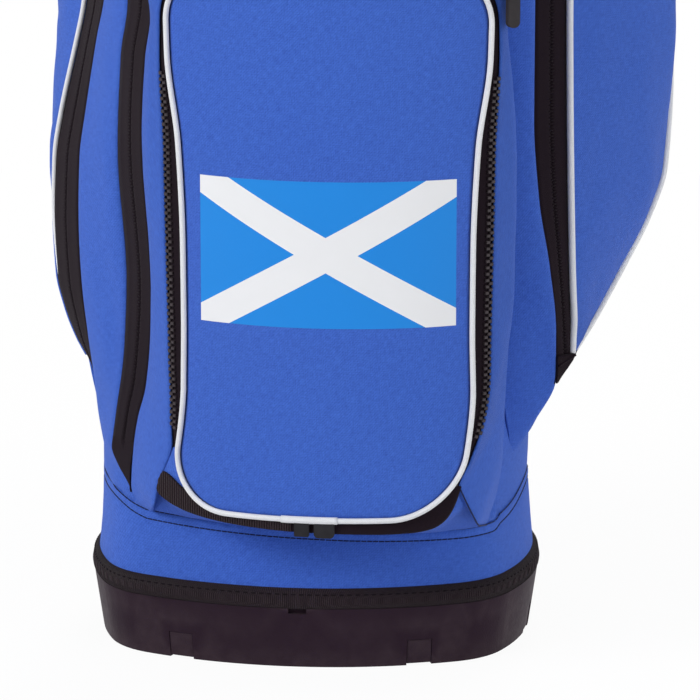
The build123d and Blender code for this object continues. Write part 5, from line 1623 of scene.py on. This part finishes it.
def buildPad():
    # crowned pad with bound edges and two sewn channels
    rows = []
    angles = spread(strap["padFrom"], strap["padTo"], 0.25)
    for angle in angles:
        share, tuck, half = padShape(angle)
        channel = sum(hump(share - at, strap["channelRun"]) for at in strap["channels"])
        full = strap["padThick"] / 2 * (0.35 + 0.65 * tuck) * (1 - 0.35 * channel)
        out = Vector((0, *around(angle)))
        row = []
        for k in range(strap["padSides"]):
            turn = math.tau * k / strap["padSides"]
            x = signedPower(math.cos(turn), strap["padSquare"][0]) * half
            o = signedPower(math.sin(turn), strap["padSquare"][1]) * full
            row.append(strapArc(angle) + Vector((x, 0, 0)) + out * o)
        rows.append(row)
    pad = addClosed("strapPad", capped(rows), looks["padCloth"], stands=["strap_pad"])
    for name, side in (("strapPadBindingLeft", -1), ("strapPadBindingRight", 1)):
        line = [strapArc(angle) + Vector((side * padShape(angle)[2], 0, 0)) for angle in angles]
        addTube(name, line, strap["padBinding"], looks["webbing"], sides=8,
                centre=Vector((0, -400, 489)))


def buildTowelTab():
    radius = towel["bore"] + towel["wall"] / 2
    x, y, z = towel["x"], towel["y"], towel["z"]
    line = [Vector((x + radius + 0.4, y, up)) for up in spread(towel["top"], z, 4)]
    line += [Vector((x + radius * c, y, z + radius * s))
             for c, s in map(around, spread(0, -180, 15))]
    line += [Vector((x - radius + 0.9 * min(1, (up - z) / 10), y, up))
             for up in spread(z + 3, towel["top"], 4)]
    rows = bandRows(line, towel["half"], towel["wall"], towel["section"], Vector((0, -1, 0)))
    addPiece("towelTab", gridMesh("towelTab", rows, loop=True), looks["webbing"],
             stands=["towel_tab"])


buildStrap()
buildTowelTab()
print("strap and towel tab made")


# room, light and camera
room = {"floorRadius": 40.0, "floorSides": 96, "floorColour": "#f4f4f4", "floorRough": 0.9,
        "floorGlow": 0.94, "worldLight": 0.17, "fadeFrom": 0.3, "fadeTo": 1.3}
lamps = (
    ("keyLight", (-2.7, -2.3, 2.2), (0, 0, 0.3), 1.5, 108.0),
    ("fillLight", (3.0, -1.6, 1.3), (0, 0, 0.35), 1.8, 44.0),
    ("backLight", (0.4, 2.6, 2.2), (0, 0, 0.5), 1.8, 50.0),
    ("topLight", (0.0, -0.4, 3.2), (0, 0, 0.4), 1.8, 16.0),
)
shot = {"place": (0.2599, -2.4728, 0.7602), "aim": (0.01913, -0.0006, 0.15542), "lens": 235.6,
        "sensor": 36.0, "clipEnd": 60}


def seenRays(tree):
    # the white surround shows to the camera, and in metal and gloss, and lights nothing
    path = tree.nodes.new("ShaderNodeLightPath").outputs
    direct = calc(tree, "MAXIMUM", path["Is Camera Ray"], path["Is Glossy Ray"])
    return calc(tree, "MAXIMUM", direct, path["Is Transmission Ray"])


def aimed(name, data, place, aim):
    item = link(name, data)
    item.location = place
    item.rotation_mode = "QUATERNION"
    item.rotation_quaternion = (Vector(aim) - Vector(place)).to_track_quat("-Z", "Y")
    return item


def buildFloor():
    count, radius = room["floorSides"], room["floorRadius"]
    turns = [math.tau * k / count for k in range(count)]
    points = [(0, 0, 0)] + [(radius * math.cos(t), radius * math.sin(t), 0) for t in turns]
    mesh = bpy.data.meshes.new("floor")
    mesh.from_pydata(points, [], [(0, k + 1, (k + 1) % count + 1) for k in range(count)])
    floor = link("floor", mesh)
    material = bpy.data.materials.new("paleFloor")
    material.use_nodes = True
    tree = material.node_tree
    shader = tree.nodes["Principled BSDF"]
    shader.inputs["Base Color"].default_value = paint(room["floorColour"])
    shader.inputs["Roughness"].default_value = room["floorRough"]
    glow = tree.nodes.new("ShaderNodeEmission")
    mix = tree.nodes.new("ShaderNodeMixShader")
    # away from the object the floor turns plain white, so that no horizon shows
    away = tree.nodes.new("ShaderNodeVectorMath")
    away.operation = "LENGTH"
    tree.links.new(objectPlace(tree), away.inputs[0])
    far = tree.nodes.new("ShaderNodeMapRange")
    far.interpolation_type = "SMOOTHSTEP"
    for label, value in (("From Min", room["fadeFrom"]), ("From Max", room["fadeTo"]),
                         ("To Min", room["floorGlow"]), ("Value", away.outputs["Value"])):
        feed(tree, value, far.inputs[label])
    share = calc(tree, "MULTIPLY", seenRays(tree), far.outputs["Result"])
    for socket, value in zip(mix.inputs, (share, shader.outputs[0], glow.outputs[0])):
        tree.links.new(value, socket)
    tree.links.new(mix.outputs[0], tree.nodes["Material Output"].inputs["Surface"])
    mesh.materials.append(material)


def buildLight():
    world = bpy.data.worlds.new("studio")
    bpy.context.scene.world = world
    world.use_nodes = True
    tree = world.node_tree
    back = tree.nodes["Background"]
    back.inputs["Color"].default_value = (1, 1, 1, 1)
    level = calc(tree, "MULTIPLY_ADD", seenRays(tree), 1 - room["worldLight"], room["worldLight"])
    tree.links.new(level, back.inputs["Strength"])
    for name, place, aim, size, power in lamps:
        light = bpy.data.lights.new(name, "AREA")
        light.shape = "DISK"
        light.size = size
        light.energy = power
        aimed(name, light, place, aim)


def buildCamera():
    lens = bpy.data.cameras.new("shot")
    lens.lens = shot["lens"]
    lens.sensor_width = shot["sensor"]
    lens.clip_end = shot["clipEnd"]
    bpy.context.scene.camera = aimed("shot", lens, shot["place"], shot["aim"])


buildFloor()
buildLight()
buildCamera()
bpy.context.scene.view_settings.view_transform = "Standard"
print("room, light and camera made")
